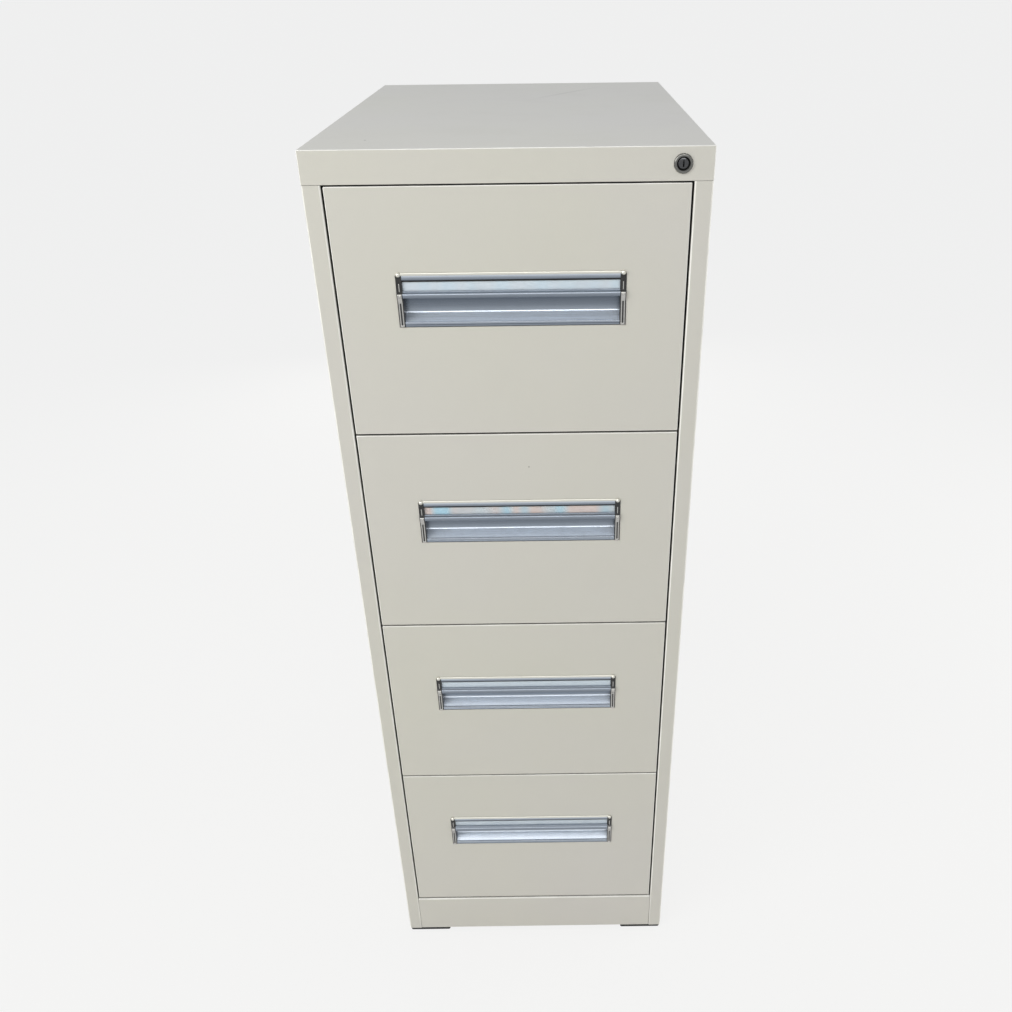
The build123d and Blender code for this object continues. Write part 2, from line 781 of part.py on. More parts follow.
def handle_cap(number):
    """Bright end cap: the handle's end wall with a rounded knob at the top and one at the lip."""
    top = drawer_top(number) - HANDLE_DROP
    outline = [
        (handle_back, 0, 0),
        (0, 0, 0),
        (-CAP_KNOB_OUT, CAP_KNOB_OUT / 2, 0),
        (-CAP_KNOB_OUT, CAP_KNOB_HEIGHT, 0),
        (LABEL_RECESS, HANDLE_RIM_TOP, 0),
        (LABEL_RECESS, window_bottom - LABEL_GROOVE, 0),
        (-LIP_OUT - CAP_LIP_OUT, window_bottom + LABEL_GROOVE, 0),
        (-LIP_OUT - CAP_LIP_OUT, lip_bottom + CAP_LIP_OUT, 0),
        (-CAP_RIM_OUT, lip_bottom + LIP_HEIGHT, 2),
        (-CAP_RIM_OUT, handle_height, 0),
        (HANDLE_WALL, handle_height, 0),
        (handle_back, floor_back + HANDLE_WALL, 2),
    ]
    points = [handle_point(behind, below, top) for behind, below, radius in outline]
    radii = [radius for behind, below, radius in outline]
    return along_x(rounded_face(points, radii), LABEL_X, HANDLE_X)


def label_sheet(number, front, thickness):
    """Flat strip in the label grooves, its front face this far behind the drawer face."""
    top = drawer_top(number) - HANDLE_DROP
    return block(
        LABEL_PLAY - LABEL_X,
        LABEL_X - LABEL_PLAY,
        FRONT_Y + front,
        FRONT_Y + front + thickness,
        top - groove_bottom + LABEL_PLAY,
        top - groove_top - LABEL_PLAY,
    )


cover_front = LABEL_RECESS + LABEL_PLAY
card_front = groove_back - CARD_THICKNESS

for number in range(1, DRAWER_COUNT + 1):
    prefix = "drawer_" + str(number) + "_"
    save(front_panel(number), prefix + "front_panel")
    save(front_liner(number), prefix + "front_liner")
    save(group([drawer_tray(number), lock_catch(number)]), prefix + "tray")
    save(pair([file_rail(number)]), prefix + "file_rails")
    save(handle(number), prefix + "handle")
    save(pair([handle_cap(number)]), prefix + "handle_caps")
    save(label_sheet(number, card_front, CARD_THICKNESS), prefix + "label_card")
    save(label_sheet(number, cover_front, COVER_THICKNESS), prefix + "label_cover")
    save(pair([drawer_rail(number)]), prefix + "slide_rails")
    middle_rail = slide_solid(middle_section, number, slide_y, SLIDE_LENGTH)
    save(pair([middle_rail]), prefix + "middle_rails")
    outer = cage_and_balls(
        number, RAIL_SHEET + CAGE_PLAY, outer_race, outer_ball_across, outer_cage_y
    )
    inner = cage_and_balls(number, inner_cage_web, inner_race, inner_ball_across, inner_cage_y)
    save(pair(outer + inner), prefix + "ball_retainers")

# Lock housing: rosette and threaded barrel with the plug's bore.
lock_place = Pos(LOCK_X, LOCK_Z)
rosette = disc(ROSETTE_RADIUS, LOCK_X, LOCK_Z, FRONT_Y - ROSETTE_OUT, FRONT_Y)
barrel_face = lock_place * RegularPolygon(BARREL_RADIUS, BARREL_SIDES)
barrel = along_y(barrel_face, FRONT_Y, FRONT_Y + BARREL_LENGTH)
lock_bore = disc(
    PLUG_RADIUS + PLUG_FIT, LOCK_X, LOCK_Z, FRONT_Y - ROSETTE_OUT, FRONT_Y + BARREL_LENGTH
)
save(rosette + barrel - lock_bore, "lock_housing")

# Lock nut: hexagon behind the cap's front band.
nut_y = FRONT_Y + CASE_SHEET
nut_face = RegularPolygon(NUT_WIDTH / 2, 6, major_radius=False)
nut_face -= RegularPolygon(BARREL_RADIUS + PLUG_FIT, BARREL_SIDES)
save(along_y(lock_place * nut_face, nut_y, nut_y + NUT_THICKNESS), "lock_nut")

# Lock plug: body with a vertical keyway and a square tang for the cam.
plug_front = FRONT_Y - ROSETTE_OUT + PLUG_RECESS
plug = disc(PLUG_RADIUS, LOCK_X, LOCK_Z, plug_front, CAM_Y)
tang_face = lock_place * Rectangle(2 * PLUG_TANG, 2 * PLUG_TANG)
plug += along_y(tang_face, CAM_Y, CAM_Y + CAM_THICKNESS)
plug -= block(
    LOCK_X - KEYWAY_WIDTH / 2,
    LOCK_X + KEYWAY_WIDTH / 2,
    plug_front,
    plug_front + KEYWAY_DEPTH,
    LOCK_Z - KEYWAY_HEIGHT / 2,
    LOCK_Z + KEYWAY_HEIGHT / 2,
)
save(plug, "lock_plug")

# Lock cam: arm with the drive pin, turned half its swing below level when the lock is open.
rest_angle = math.radians(-CAM_SWING / 2)
pin_x = LOCK_X + CAM_THROW * math.cos(rest_angle)
pin_z = LOCK_Z + CAM_THROW * math.sin(rest_angle)
cam_arm = make_hull(
    (lock_place * RegularPolygon(CAM_HUB_RADIUS, CAM_SIDES)).edges()
    + (Pos(pin_x, pin_z) * RegularPolygon(CAM_PIN_BOSS, CAM_SIDES)).edges()
)
tang_hole = lock_place * Rectangle(2 * (PLUG_TANG + PLUG_FIT), 2 * (PLUG_TANG + PLUG_FIT))
cam = along_y(cam_arm - tang_hole, CAM_Y, CAM_Y + CAM_THICKNESS)
pin_end = BAR_Y + 2 * BAR_SHEET + CAM_PLAY
cam += disc(CAM_PIN_RADIUS, pin_x, pin_z, CAM_Y + CAM_THICKNESS / 2, pin_end)
save(cam, "lock_cam")

# Cam screw: its six-sided head holds the cam on the tang.
screw_y = CAM_Y + CAM_THICKNESS
screw_face = lock_place * RegularPolygon(CAM_SCREW_RADIUS, 6)
save(along_y(screw_face, screw_y, screw_y + CAM_SCREW_HEAD), "lock_cam_screw")

# Locking bar: strip behind the right stile. Welded to its back are a fork plate on the cam's pin
# and a hook plate for each drawer.
fork_half = CAM_PIN_RADIUS + FORK_PLAY
fork_x = pin_x - CAM_PIN_RADIUS - FORK_START_GAP
bar_end = BAR_X + BAR_WIDTH
bar_top = pin_z + fork_half + FORK_PRONG
fork_low = pin_z - fork_half - FORK_PRONG
hook_x = TRAY_X + BAR_TRAY_GAP
plate_y = BAR_Y + BAR_SHEET
plate_end = plate_y + BAR_SHEET
strip = block(BAR_X, bar_end, BAR_Y, plate_y, PLINTH_TOP + BAR_FOOT, bar_top)
fork = block(fork_x, bar_end, plate_y, plate_end, fork_low, bar_top)
fork -= block(fork_x, BAR_X, plate_y, plate_end, pin_z - fork_half, pin_z + fork_half)
bar_pieces = [strip, fork]
for number in range(1, DRAWER_COUNT + 1):
    hook_top = catch_low(number) - HOOK_GAP
    hook = block(hook_x, bar_end, plate_y, plate_end, hook_top - HOOK_HEIGHT, hook_top)
    bar_pieces.append(hook)
save(group(bar_pieces), "lock_bar")

# Bar guides: blocks on the front post that the bar slides through.
guides = []
guide_back = FRONT_Y + POST_SETBACK
for number in range(1, DRAWER_COUNT):
    guide_z = drawer_top(number) - GUIDE_DROP
    guide = block(
        BAR_X - GUIDE_PLAY - GUIDE_WALL,
        WALL_X - POST_SHEET - GUIDE_PLAY,
        BAR_Y - GUIDE_PLAY - GUIDE_WALL,
        guide_back,
        guide_z,
        guide_z + GUIDE_HEIGHT,
    )
    guide -= block(
        BAR_X - GUIDE_PLAY,
        BAR_X + BAR_WIDTH + GUIDE_PLAY,
        BAR_Y - GUIDE_PLAY,
        BAR_Y + BAR_SHEET + GUIDE_PLAY,
        guide_z - 1,
        guide_z + GUIDE_HEIGHT + 1,
    )
    guides.append(guide)
save(group(guides), "lock_bar_guides")
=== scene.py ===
import json
import logging
import math
from collections.abc import Callable, Iterable, Sequence
from dataclasses import dataclass
from enum import Enum

import bmesh
import bpy
from bmesh.types import BMEdge, BMesh, BMFace, BMVert
from mathutils import Matrix, Vector

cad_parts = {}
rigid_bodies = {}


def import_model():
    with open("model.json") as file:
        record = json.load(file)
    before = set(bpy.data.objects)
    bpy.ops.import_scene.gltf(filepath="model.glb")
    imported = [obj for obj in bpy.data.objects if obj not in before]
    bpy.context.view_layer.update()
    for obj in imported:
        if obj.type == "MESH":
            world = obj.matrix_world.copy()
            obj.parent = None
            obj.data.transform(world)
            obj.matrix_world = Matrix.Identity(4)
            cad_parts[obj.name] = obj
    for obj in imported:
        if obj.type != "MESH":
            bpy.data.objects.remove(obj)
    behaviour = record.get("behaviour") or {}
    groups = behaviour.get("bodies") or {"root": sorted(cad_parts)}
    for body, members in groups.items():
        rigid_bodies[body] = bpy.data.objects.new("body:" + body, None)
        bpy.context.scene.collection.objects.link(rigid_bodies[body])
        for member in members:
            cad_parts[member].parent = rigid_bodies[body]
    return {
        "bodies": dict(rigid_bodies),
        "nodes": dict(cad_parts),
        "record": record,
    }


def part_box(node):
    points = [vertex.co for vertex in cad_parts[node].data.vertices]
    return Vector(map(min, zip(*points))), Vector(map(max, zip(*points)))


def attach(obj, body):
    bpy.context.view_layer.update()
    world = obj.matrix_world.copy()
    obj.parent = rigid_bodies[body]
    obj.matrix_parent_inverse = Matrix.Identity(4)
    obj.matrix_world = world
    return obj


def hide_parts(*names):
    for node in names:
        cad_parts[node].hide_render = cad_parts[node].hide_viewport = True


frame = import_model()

log = logging.getLogger("cabinet")

MM = 0.001
NEAR = 1e-6
# Mesh attribute that marks where the paint gets a painted highlight along rounded edges.
EDGE_HIGHLIGHT = "painted_edge_highlight"
# Mesh attribute with the share of painted shade at each point of the handle.
PAINTED_SHADE = "painted_shade"
Colour = tuple[float, float, float]
Place = tuple[float, float, float]
Point = tuple[float, float]
Node = bpy.types.Node
Socket = bpy.types.NodeSocket


class Slot(Enum):
    """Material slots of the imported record."""

    CASE_PAINT = "case_paint"
    ZINC = "zinc_steel"
    ALUMINIUM = "handle_aluminium"
    BRIGHT_CHROME = "bright_chrome"
    SATIN_CHROME = "satin_chrome"
    BLACK_PLASTIC = "black_plastic"
    CARD = "label_card"
    COVER = "clear_cover"


class Look(Enum):
    """Finishes of the cabinet's surfaces, by the names of their materials."""

    POWDER_COAT = "powder_coat"
    SATIN_ALUMINIUM = "satin_aluminium"
    BLANK_CARD = "blank_card"
    CLEAR_SHEET = "clear_sheet"
    POLISHED_TRIM = "polished_trim"
    BRIGHT_CHROME = "bright_chrome"
    SATIN_CHROME = "satin_chrome"
    DARK_CHROME = "dark_chrome"
    ZINC_PLATE = "zinc_plate"
    BLACK_PLASTIC = "black_plastic"
    GLOSS_BLACK = "gloss_black"


def rgb(red: int, green: int, blue: int) -> Colour:
    """Linear colour of a screen colour.

    Args:
        red: Red, 0 to 255.
        green: Green, 0 to 255.
        blue: Blue, 0 to 255.

    Returns:
        Three linear values from 0 to 1.
    """

    def linear(value: int) -> float:
        """Linear value of one channel."""
        share = value / 255
        return share / 12.92 if share <= 0.04045 else ((share + 0.055) / 1.055) ** 2.4

    return linear(red), linear(green), linear(blue)


# Shader graphs -------------------------------------------------------------------------------


class Graph:
    """Node tree with short ways to add nodes and join them."""

    def __init__(self, tree: bpy.types.NodeTree) -> None:
        """Start on an empty tree."""
        self.tree = tree
        self.tree.nodes.clear()

    def add(
        self, kind: str, feeds: dict[str | int, object] | None = None, **settings: object
    ) -> Node:
        """Add a node.

        Args:
            kind: Blender's name of the node type, without ShaderNode.
            feeds: Values of its inputs, by name or number.
            **settings: Properties of the node.

        Returns:
            The new node.
        """
        node = self.tree.nodes.new("ShaderNode" + kind)
        for key, value in settings.items():
            setattr(node, key, value)
        for key, value in (feeds or {}).items():
            self.feed(node.inputs[key], value)
        return node

    def feed(self, socket: Socket, value: object) -> None:
        """Join a socket to another, or set its plain value.

        Args:
            socket: Input socket.
            value: Output socket, number, vector or colour.
        """
        if isinstance(value, Socket):
            self.tree.links.new(value, socket)
        elif socket.type == "RGBA":
            socket.default_value = (*value, 1.0)
        else:
            socket.default_value = value

    def math(self, operation: str, first: object, second: object) -> Socket:
        """Result of a Math node on two values."""
        return self.add("Math", {0: first, 1: second}, operation=operation).outputs[0]

    def times(self, first: object, second: object) -> Socket:
        """Product of two values."""
        return self.math("MULTIPLY", first, second)

    def mapped(self, vector: object, **change: Place) -> Socket:
        """Coordinates scaled or turned by a Mapping node."""
        return self.add("Mapping", {"Vector": vector, **change}).outputs["Vector"]

    def height(self, vector: object) -> Socket:
        """Z of a vector."""
        return self.add("SeparateXYZ", {0: vector}).outputs["Z"]

    def noise(
        self, vector: object, scale: object, detail: float, roughness: float = 0.5
    ) -> Socket:
        """Noise over the surface.

        Args:
            vector: Coordinates.
            scale: Cells for each metre.
            detail: Octaves.
            roughness: Share of the finer octaves.

        Returns:
            The noise factor, 0 to 1.
        """
        feeds = {"Vector": vector, "Scale": scale, "Detail": detail, "Roughness": roughness}
        return self.add("TexNoise", feeds).outputs["Fac"]

    def span(
        self, value: object, low: float, high: float, start: float = 0.0, end: float = 1.0
    ) -> Socket:
        """Value mapped from one range to another and clamped.

        Args:
            value: Input value.
            low: Start of the input range.
            high: End of the input range.
            start: Result at low.
            end: Result at high.

        Returns:
            The mapped value.
        """
        feeds = {"Value": value, "From Min": low, "From Max": high, "To Min": start, "To Max": end}
        return self.add("MapRange", feeds).outputs["Result"]

    def layered(self, colour: object, *layers: tuple[object, object]) -> object:
        """Blend colours over a first one.

        Args:
            colour: The first colour.
            *layers: For each layer its share and its colour.

        Returns:
            The last blend.
        """
        for share, over in layers:
            feeds = {0: share, 6: colour, 7: over}
            colour = self.add("Mix", feeds, data_type="RGBA").outputs[2]
        return colour

    def seen_or_lit(self, kind: str, share: object, lit: object, seen: object) -> None:
        """Mix two shaders into the tree's output.

        Args:
            kind: Kind of the output node.
            share: Share of the second shader.
            lit: Node of the shader that lights the object.
            seen: Node of the shader that the camera sees.
        """
        feeds = {0: share, 1: lit.outputs[0], 2: seen.outputs[0]}
        mixed = self.add("MixShader", feeds).outputs[0]
        self.add(kind, {"Surface": mixed})


class Effect(Graph):
    """Shader node group that several finishes share, found by its name."""

    def __init__(self, name: str, inputs: dict[str, float], outputs: Sequence[str]) -> None:
        """Make the group's sockets.

        Args:
            name: Name of the group.
            inputs: Names and start values of the number inputs.
            outputs: Names of the number outputs.
        """
        super().__init__(bpy.data.node_groups.new(name, "ShaderNodeTree"))
        face = self.tree.interface
        face.new_socket("Vector", in_out="INPUT", socket_type="NodeSocketVector")
        for key, value in inputs.items():
            socket = face.new_socket(key, in_out="INPUT", socket_type="NodeSocketFloat")
            socket.default_value = value
        for key in outputs:
            face.new_socket(key, in_out="OUTPUT", socket_type="NodeSocketFloat")
        self.source = self.tree.nodes.new("NodeGroupInput")
        self.sink = self.tree.nodes.new("NodeGroupOutput")

    def given(self, key: str) -> Socket:
        """One of the values that the group is given."""
        return self.source.outputs[key]

    def give(self, **results: Socket) -> None:
        """Feed the group's outputs."""
        for key, value in results.items():
            self.feed(self.sink.inputs[key], value)


class Effects:
    """The shared effects, each built once."""

    def build(self) -> None:
        """Build every group."""
        self.grain()
        self.drift()
        self.lines()
        self.edges()
        self.recess()

    def grain(self) -> None:
        """Fine bumps of sprayed powder or moulded plastic."""
        group = Effect("surface_grain", {"Scale": 650.0, "Fine": 0.35}, ["Height", "Speck"])
        vector, scale = group.given("Vector"), group.given("Scale")
        coarse = group.noise(vector, scale, 1.0)
        fine = group.noise(vector, group.times(scale, 3.1), 1.0)
        height = group.math("ADD", coarse, group.times(fine, group.given("Fine")))
        group.give(Height=height, Speck=group.span(fine, 0.3, 0.7))

    def drift(self) -> None:
        """Slow cloudy change over a surface, for colour and gloss."""
        group = Effect("slow_drift", {"Scale": 3.0}, ["Cloud", "Smudge"])
        vector, scale = group.given("Vector"), group.given("Scale")
        cloud = group.noise(vector, scale, 3.0)
        smudge = group.noise(vector, group.times(scale, 5.3), 5.0, 0.62)
        group.give(Cloud=group.span(cloud, 0.3, 0.7), Smudge=group.span(smudge, 0.52, 0.78))

    def lines(self) -> None:
        """Fine lines drawn along X, as on extruded or ground metal."""
        group = Effect("drawn_lines", {"Along": 6.0, "Across": 1600.0}, ["Line", "Height"])
        parts = group.add("SeparateXYZ", {0: group.given("Vector")}).outputs
        stretched = {
            axis: group.times(parts[axis], group.given(key))
            for axis, key in enumerate(("Along", "Across", "Across"))
        }
        joined = group.add("CombineXYZ", stretched).outputs[0]
        lines = group.noise(joined, 1.0, 3.0, 0.6)
        group.give(Line=group.span(lines, 0.3, 0.7), Height=lines)

    def edges(self) -> None:
        """Painted highlight along outer rounded edges, which the mesh marks, broken up by noise."""
        group = Effect("painted_edge_highlights", {"Scale": 30.0}, ["Rubbed"])
        edge = group.add("Attribute", attribute_name=EDGE_HIGHLIGHT).outputs["Fac"]
        broken = group.noise(group.given("Vector"), group.given("Scale"), 4.0)
        group.give(Rubbed=group.times(edge, group.span(broken, 0.35, 0.65, 0.6, 1.0)))

    def recess(self) -> None:
        """Painted shade in grooves, in gaps and under ledges, from ambient occlusion."""
        group = Effect("recess_shade", {"Reach": 0.012}, ["Open"])
        reach = {"Distance": group.given("Reach")}
        shade = group.add("AmbientOcclusion", reach, samples=8, only_local=False)
        group.give(Open=group.span(shade.outputs["AO"], 0.15, 0.85))


class MaterialGraph(Graph):
    """Graph of a material with a Principled BSDF."""

    def __init__(self, name: str) -> None:
        """Make the material, its shader and the object coordinates.

        Args:
            name: Name of the material.
        """
        self.material = bpy.data.materials.new(name)
        self.material.use_nodes = True
        super().__init__(self.material.node_tree)
        self.shader = self.add("BsdfPrincipled")
        self.add("OutputMaterial", {"Surface": self.shader.outputs["BSDF"]})
        self.place = self.add("TexCoord").outputs["Object"]

    def effect(
        self, name: str, vector: object = None, **values: float
    ) -> bpy.types.NodeOutputs:
        """Put a shared effect in the material.

        Args:
            name: Name of the effect's group.
            vector: Coordinates, those of the object if none are given.
            **values: Values of the group's inputs.

        Returns:
            The outputs of its node.
        """
        feeds = {"Vector": self.place if vector is None else vector, **values}
        return self.add("Group", feeds, node_tree=bpy.data.node_groups[name]).outputs

    def gloss(self, mask: object, low: float, rise: float) -> Socket:
        """Roughness that rises with a mask."""
        return self.span(mask, 0.0, 1.0, low, low + rise)

    def shade(self, colour: object, roughness: object, **more: object) -> None:
        """Feed the shader's colour, its roughness and other inputs."""
        for key, value in {"Base Color": colour, "Roughness": roughness, **more}.items():
            self.feed(self.shader.inputs[key], value)

    def bump(self, height: object, depth: float) -> None:
        """Feed the shader's normal with bumps.

        Args:
            height: Height output.
            depth: Height of a full bump in metres.
        """
        feeds = {"Strength": 1.0, "Distance": depth, "Height": height}
        normal = self.add("Bump", feeds).outputs["Normal"]
        self.feed(self.shader.inputs["Normal"], normal)


# Finishes ------------------------------------------------------------------------------------


class Finish:
    """Look of a surface that can be made into a material."""

    def build(self, name: str) -> bpy.types.Material:
        """Make the material.

        Args:
            name: Its name.

        Returns:
            The material.
        """
        graph = MaterialGraph(name)
        self.paint(graph)
        return graph.material

    def paint(self, graph: MaterialGraph) -> None:
        """Feed the material's shader."""
        raise NotImplementedError


@dataclass(frozen=True)
class Mark:
    """Small mark on the paint."""

    centre: Place
    size: Place
    strength: float
    turn: float = 0.0


@dataclass(frozen=True)
class PowderCoat(Finish):
    """Warm off-white powder coat with a fine grain, painted highlights on its rounded edges and
    painted shade in its gaps.
    """

    base: Colour = rgb(200, 198, 188)
    cooler: Colour = rgb(200, 197, 192)
    soil: Colour = rgb(172, 166, 151)
    # Colour of the painted highlight along the rounded edges.
    painted_highlight: Colour = rgb(248, 247, 241)
    # Colour of the painted shade in the gaps between parts.
    painted_gap_shade: Colour = rgb(44, 41, 37)
    dark: Colour = rgb(88, 82, 74)
    roughness: float = 0.42
    grain: float = 0.00007
    marks: tuple[Mark, ...] = (
        Mark((-0.161, -0.247, 1.327), (0.0018, 0.0024, 0.003), 0.8),
        Mark((0.074, 0.18, 1.327), (0.1, 0.006, 0.003), 0.13, 55.0),
        Mark((0.014, -0.3078, 0.9425), (0.0011, 0.003, 0.0016), 0.75),
    )

    def paint(self, graph: MaterialGraph) -> None:
        """Clouds, dirt, painted highlights on the edges, painted shade in the gaps and the marks
        over the base colour.

        Args:
            graph: Graph of the material.
        """
        drift = graph.effect("slow_drift", Scale=2.2)
        grain = graph.effect("surface_grain", Scale=620.0, Fine=0.4)
        edges = graph.effect("painted_edge_highlights")
        recess = graph.effect("recess_shade", Reach=0.02)
        colour = graph.layered(
            self.base,
            (drift["Cloud"], self.cooler),
            (graph.times(drift["Smudge"], 0.03), self.soil),
            (graph.times(grain["Speck"], 0.05), self.soil),
            # Painted highlight along the rounded edges.
            (graph.times(edges["Rubbed"], 0.92), self.painted_highlight),
            # Painted shade in the gaps, from ambient occlusion.
            (graph.span(recess["Open"], 0.0, 0.35, 0.85, 0.0), self.painted_gap_shade),
            *((self.mark_mask(graph, mark), self.dark) for mark in self.marks),
        )
        graph.shade(colour, graph.gloss(drift["Smudge"], self.roughness, 0.04), IOR=1.5)
        graph.bump(grain["Height"], self.grain)

    @staticmethod
    def mark_mask(graph: MaterialGraph, mark: Mark) -> Socket:
        """Soft spot round one place.

        Args:
            graph: Graph of the material.
            mark: The mark.

        Returns:
            Mask from 0 to the mark's strength.
        """
        kind = "VectorMath"
        shift = graph.add(kind, {0: graph.place, 1: mark.centre}, operation="SUBTRACT")
        feeds = {"Vector": shift.outputs[0], "Angle": -math.radians(mark.turn)}
        turned = graph.add("VectorRotate", feeds, rotation_type="Z_AXIS")
        shrunk = graph.add(kind, {0: turned.outputs[0], 1: mark.size}, operation="DIVIDE")
        length = graph.add(kind, {0: shrunk.outputs[0]}, operation="LENGTH")
        return graph.span(length.outputs["Value"], 0.3, 1.0, mark.strength, 0.0)


@dataclass(frozen=True)
class Metal(Finish):
    """Bare or plated metal with drawn lines."""

    base: Colour
    worn: Colour
    roughness: float
    along: float
    across: float
    depth: float

    def paint(self, graph: MaterialGraph) -> None:
        """Drawn lines and smudges of the worn colour.

        Args:
            graph: Graph of the material.
        """
        lines = graph.effect("drawn_lines", Along=self.along, Across=self.across)
        drift = graph.effect("slow_drift", Scale=14.0)
        colour = graph.layered(
            self.base,
            (graph.times(lines["Line"], 0.5), self.worn),
            (graph.times(drift["Smudge"], 0.25), self.worn),
        )
        graph.shade(colour, graph.gloss(lines["Line"], self.roughness, 0.12), Metallic=1.0)
        graph.bump(lines["Height"], self.depth)


@dataclass(frozen=True)
class Anodised(Finish):
    """Satin anodised extrusion with painted shade in its grooves and under its ledges."""

    clean: Colour = rgb(234, 243, 254)
    # Colour of the painted shade and of the smudges.
    painted_dark: Colour = rgb(93, 102, 114)
    line: Colour = rgb(186, 197, 212)
    roughness: float = 0.24

    def paint(self, graph: MaterialGraph) -> None:
        """Drawn lines, and painted shade where the mesh marks it and where ambient occlusion finds
        a recess.

        Args:
            graph: Graph of the material.
        """
        lines = graph.effect("drawn_lines", Along=5.0, Across=2400.0)
        drift = graph.effect("slow_drift", Scale=14.0)
        recess = graph.effect("recess_shade", Reach=0.012)
        # Painted shade, as the mesh marks it at each corner of the handle's outline.
        painted_shade = graph.add("Attribute", attribute_name=PAINTED_SHADE).outputs["Fac"]
        colour = graph.layered(
            self.clean,
            (graph.times(lines["Line"], 0.3), self.line),
            (painted_shade, self.painted_dark),
            (graph.times(drift["Smudge"], 0.12), self.painted_dark),
            # Painted shade in recesses, from ambient occlusion.
            (graph.span(recess["Open"], 0.0, 1.0, 0.15, 0.0), self.painted_dark),
        )
        metallic = graph.span(painted_shade, 0.0, 0.6, 0.55, 0.88)
        graph.shade(colour, graph.gloss(lines["Line"], self.roughness, 0.1), Metallic=metallic)
        graph.bump(lines["Height"], 0.000004)


@dataclass(frozen=True)
class Plastic(Finish):
    """Moulded plastic with a fine grain."""

    base: Colour
    pale: Colour
    roughness: float

    def paint(self, graph: MaterialGraph) -> None:
        """Thin dust over the base colour.

        Args:
            graph: Graph of the material.
        """
        grain = graph.effect("surface_grain", Scale=900.0, Fine=0.6)
        drift = graph.effect("slow_drift", Scale=20.0)
        colour = graph.layered(self.base, (graph.times(drift["Smudge"], 0.35), self.pale))
        graph.shade(colour, graph.gloss(grain["Speck"], self.roughness, 0.15))
        graph.bump(grain["Height"], 0.00005)


@dataclass(frozen=True)
class Card(Finish):
    """Blank paper label with painted streaks of reflection, and painted shade that darkens it in
    the lower drawers.
    """

    base: Colour = rgb(236, 246, 252)
    # Colour of the painted shade in the lower drawers.
    low: Colour = rgb(200, 207, 217)
    # Colour of the painted slanting streaks of reflection.
    painted_streak: Colour = rgb(206, 218, 229)
    slant: float = -14.0

    def paint(self, graph: MaterialGraph) -> None:
        """Painted slanting streaks of reflection over a colour with painted shade that darkens
        towards the floor.

        Args:
            graph: Graph of the material.
        """
        slanted = graph.mapped(graph.place, Rotation=(0.0, math.radians(self.slant), 0.0))
        lines = graph.effect("drawn_lines", slanted, Along=22.0, Across=420.0)
        grain = graph.effect("surface_grain", Scale=1500.0, Fine=0.5)
        colour = graph.layered(
            self.base,
            # Painted shade, darker towards the floor.
            (graph.span(graph.height(graph.place), 0.75, 0.35), self.low),
            # Painted streaks of reflection.
            (graph.times(lines["Line"], 0.45), self.painted_streak),
        )
        graph.shade(colour, graph.gloss(grain["Speck"], 0.7, 0.15))
        graph.bump(grain["Height"], 0.00002)


@dataclass(frozen=True)
class ClearSheet(Finish):
    """Clear plastic cover with a faint milky haze and, in the second drawer, painted reflections in
    bands.
    """

    base: Colour = rgb(226, 236, 244)
    # Colours of the painted reflections in bands.
    cool: Colour = rgb(176, 222, 240)
    warm: Colour = rgb(236, 214, 204)
    opacity: float = 0.30

    def paint(self, graph: MaterialGraph) -> None:
        """Haze in the alpha, and painted reflections in bands of two colours between two heights.

        Args:
            graph: Graph of the material.
        """
        stretched = graph.mapped(graph.place, Scale=(48.0, 6.0, 6.0))
        bands = graph.span(graph.noise(stretched, 1.0, 0.0), 0.36, 0.64)
        height = graph.height(graph.place)
        # Painted reflections, mostly on the second drawer's label.
        share = graph.times(
            graph.span(height, 0.6, 0.7), graph.span(height, 1.05, 0.95, 0.12, 1.0)
        )
        reflection_bands = graph.layered(self.cool, (bands, self.warm))
        drift = graph.effect("slow_drift", Scale=30.0)
        graph.shade(
            graph.layered(self.base, (share, reflection_bands)),
            graph.gloss(drift["Smudge"], 0.12, 0.13),
            Alpha=graph.gloss(drift["Cloud"], self.opacity, 0.1),
            IOR=1.49,
        )


FINISHES: dict[Look, Finish] = {
    Look.POWDER_COAT: PowderCoat(),
    Look.SATIN_ALUMINIUM: Anodised(),
    Look.BLANK_CARD: Card(),
    Look.CLEAR_SHEET: ClearSheet(),
    Look.POLISHED_TRIM: Metal(rgb(222, 221, 212), rgb(212, 211, 203), 0.26, 20.0, 900.0, 1e-6),
    Look.BRIGHT_CHROME: Metal(rgb(190, 189, 186), rgb(160, 160, 158), 0.08, 40.0, 900.0, 2e-6),
    Look.SATIN_CHROME: Metal(rgb(122, 122, 119), rgb(82, 82, 80), 0.18, 30.0, 1200.0, 4e-6),
    Look.DARK_CHROME: Metal(rgb(86, 87, 89), rgb(58, 58, 60), 0.14, 30.0, 1200.0, 4e-6),
    Look.ZINC_PLATE: Metal(rgb(168, 174, 178), rgb(142, 147, 150), 0.36, 60.0, 300.0, 1e-5),
    Look.BLACK_PLASTIC: Plastic(rgb(15, 15, 16), rgb(52, 50, 48), 0.55),
    Look.GLOSS_BLACK: Plastic(rgb(30, 31, 31), rgb(58, 58, 56), 0.22),
}
SLOT_LOOKS: dict[Slot, Look] = {
    Slot.CASE_PAINT: Look.POWDER_COAT,
    Slot.ZINC: Look.ZINC_PLATE,
    Slot.ALUMINIUM: Look.SATIN_ALUMINIUM,
    Slot.BRIGHT_CHROME: Look.BRIGHT_CHROME,
    Slot.SATIN_CHROME: Look.SATIN_CHROME,
    Slot.BLACK_PLASTIC: Look.BLACK_PLASTIC,
    Slot.CARD: Look.BLANK_CARD,
    Slot.COVER: Look.CLEAR_SHEET,
}


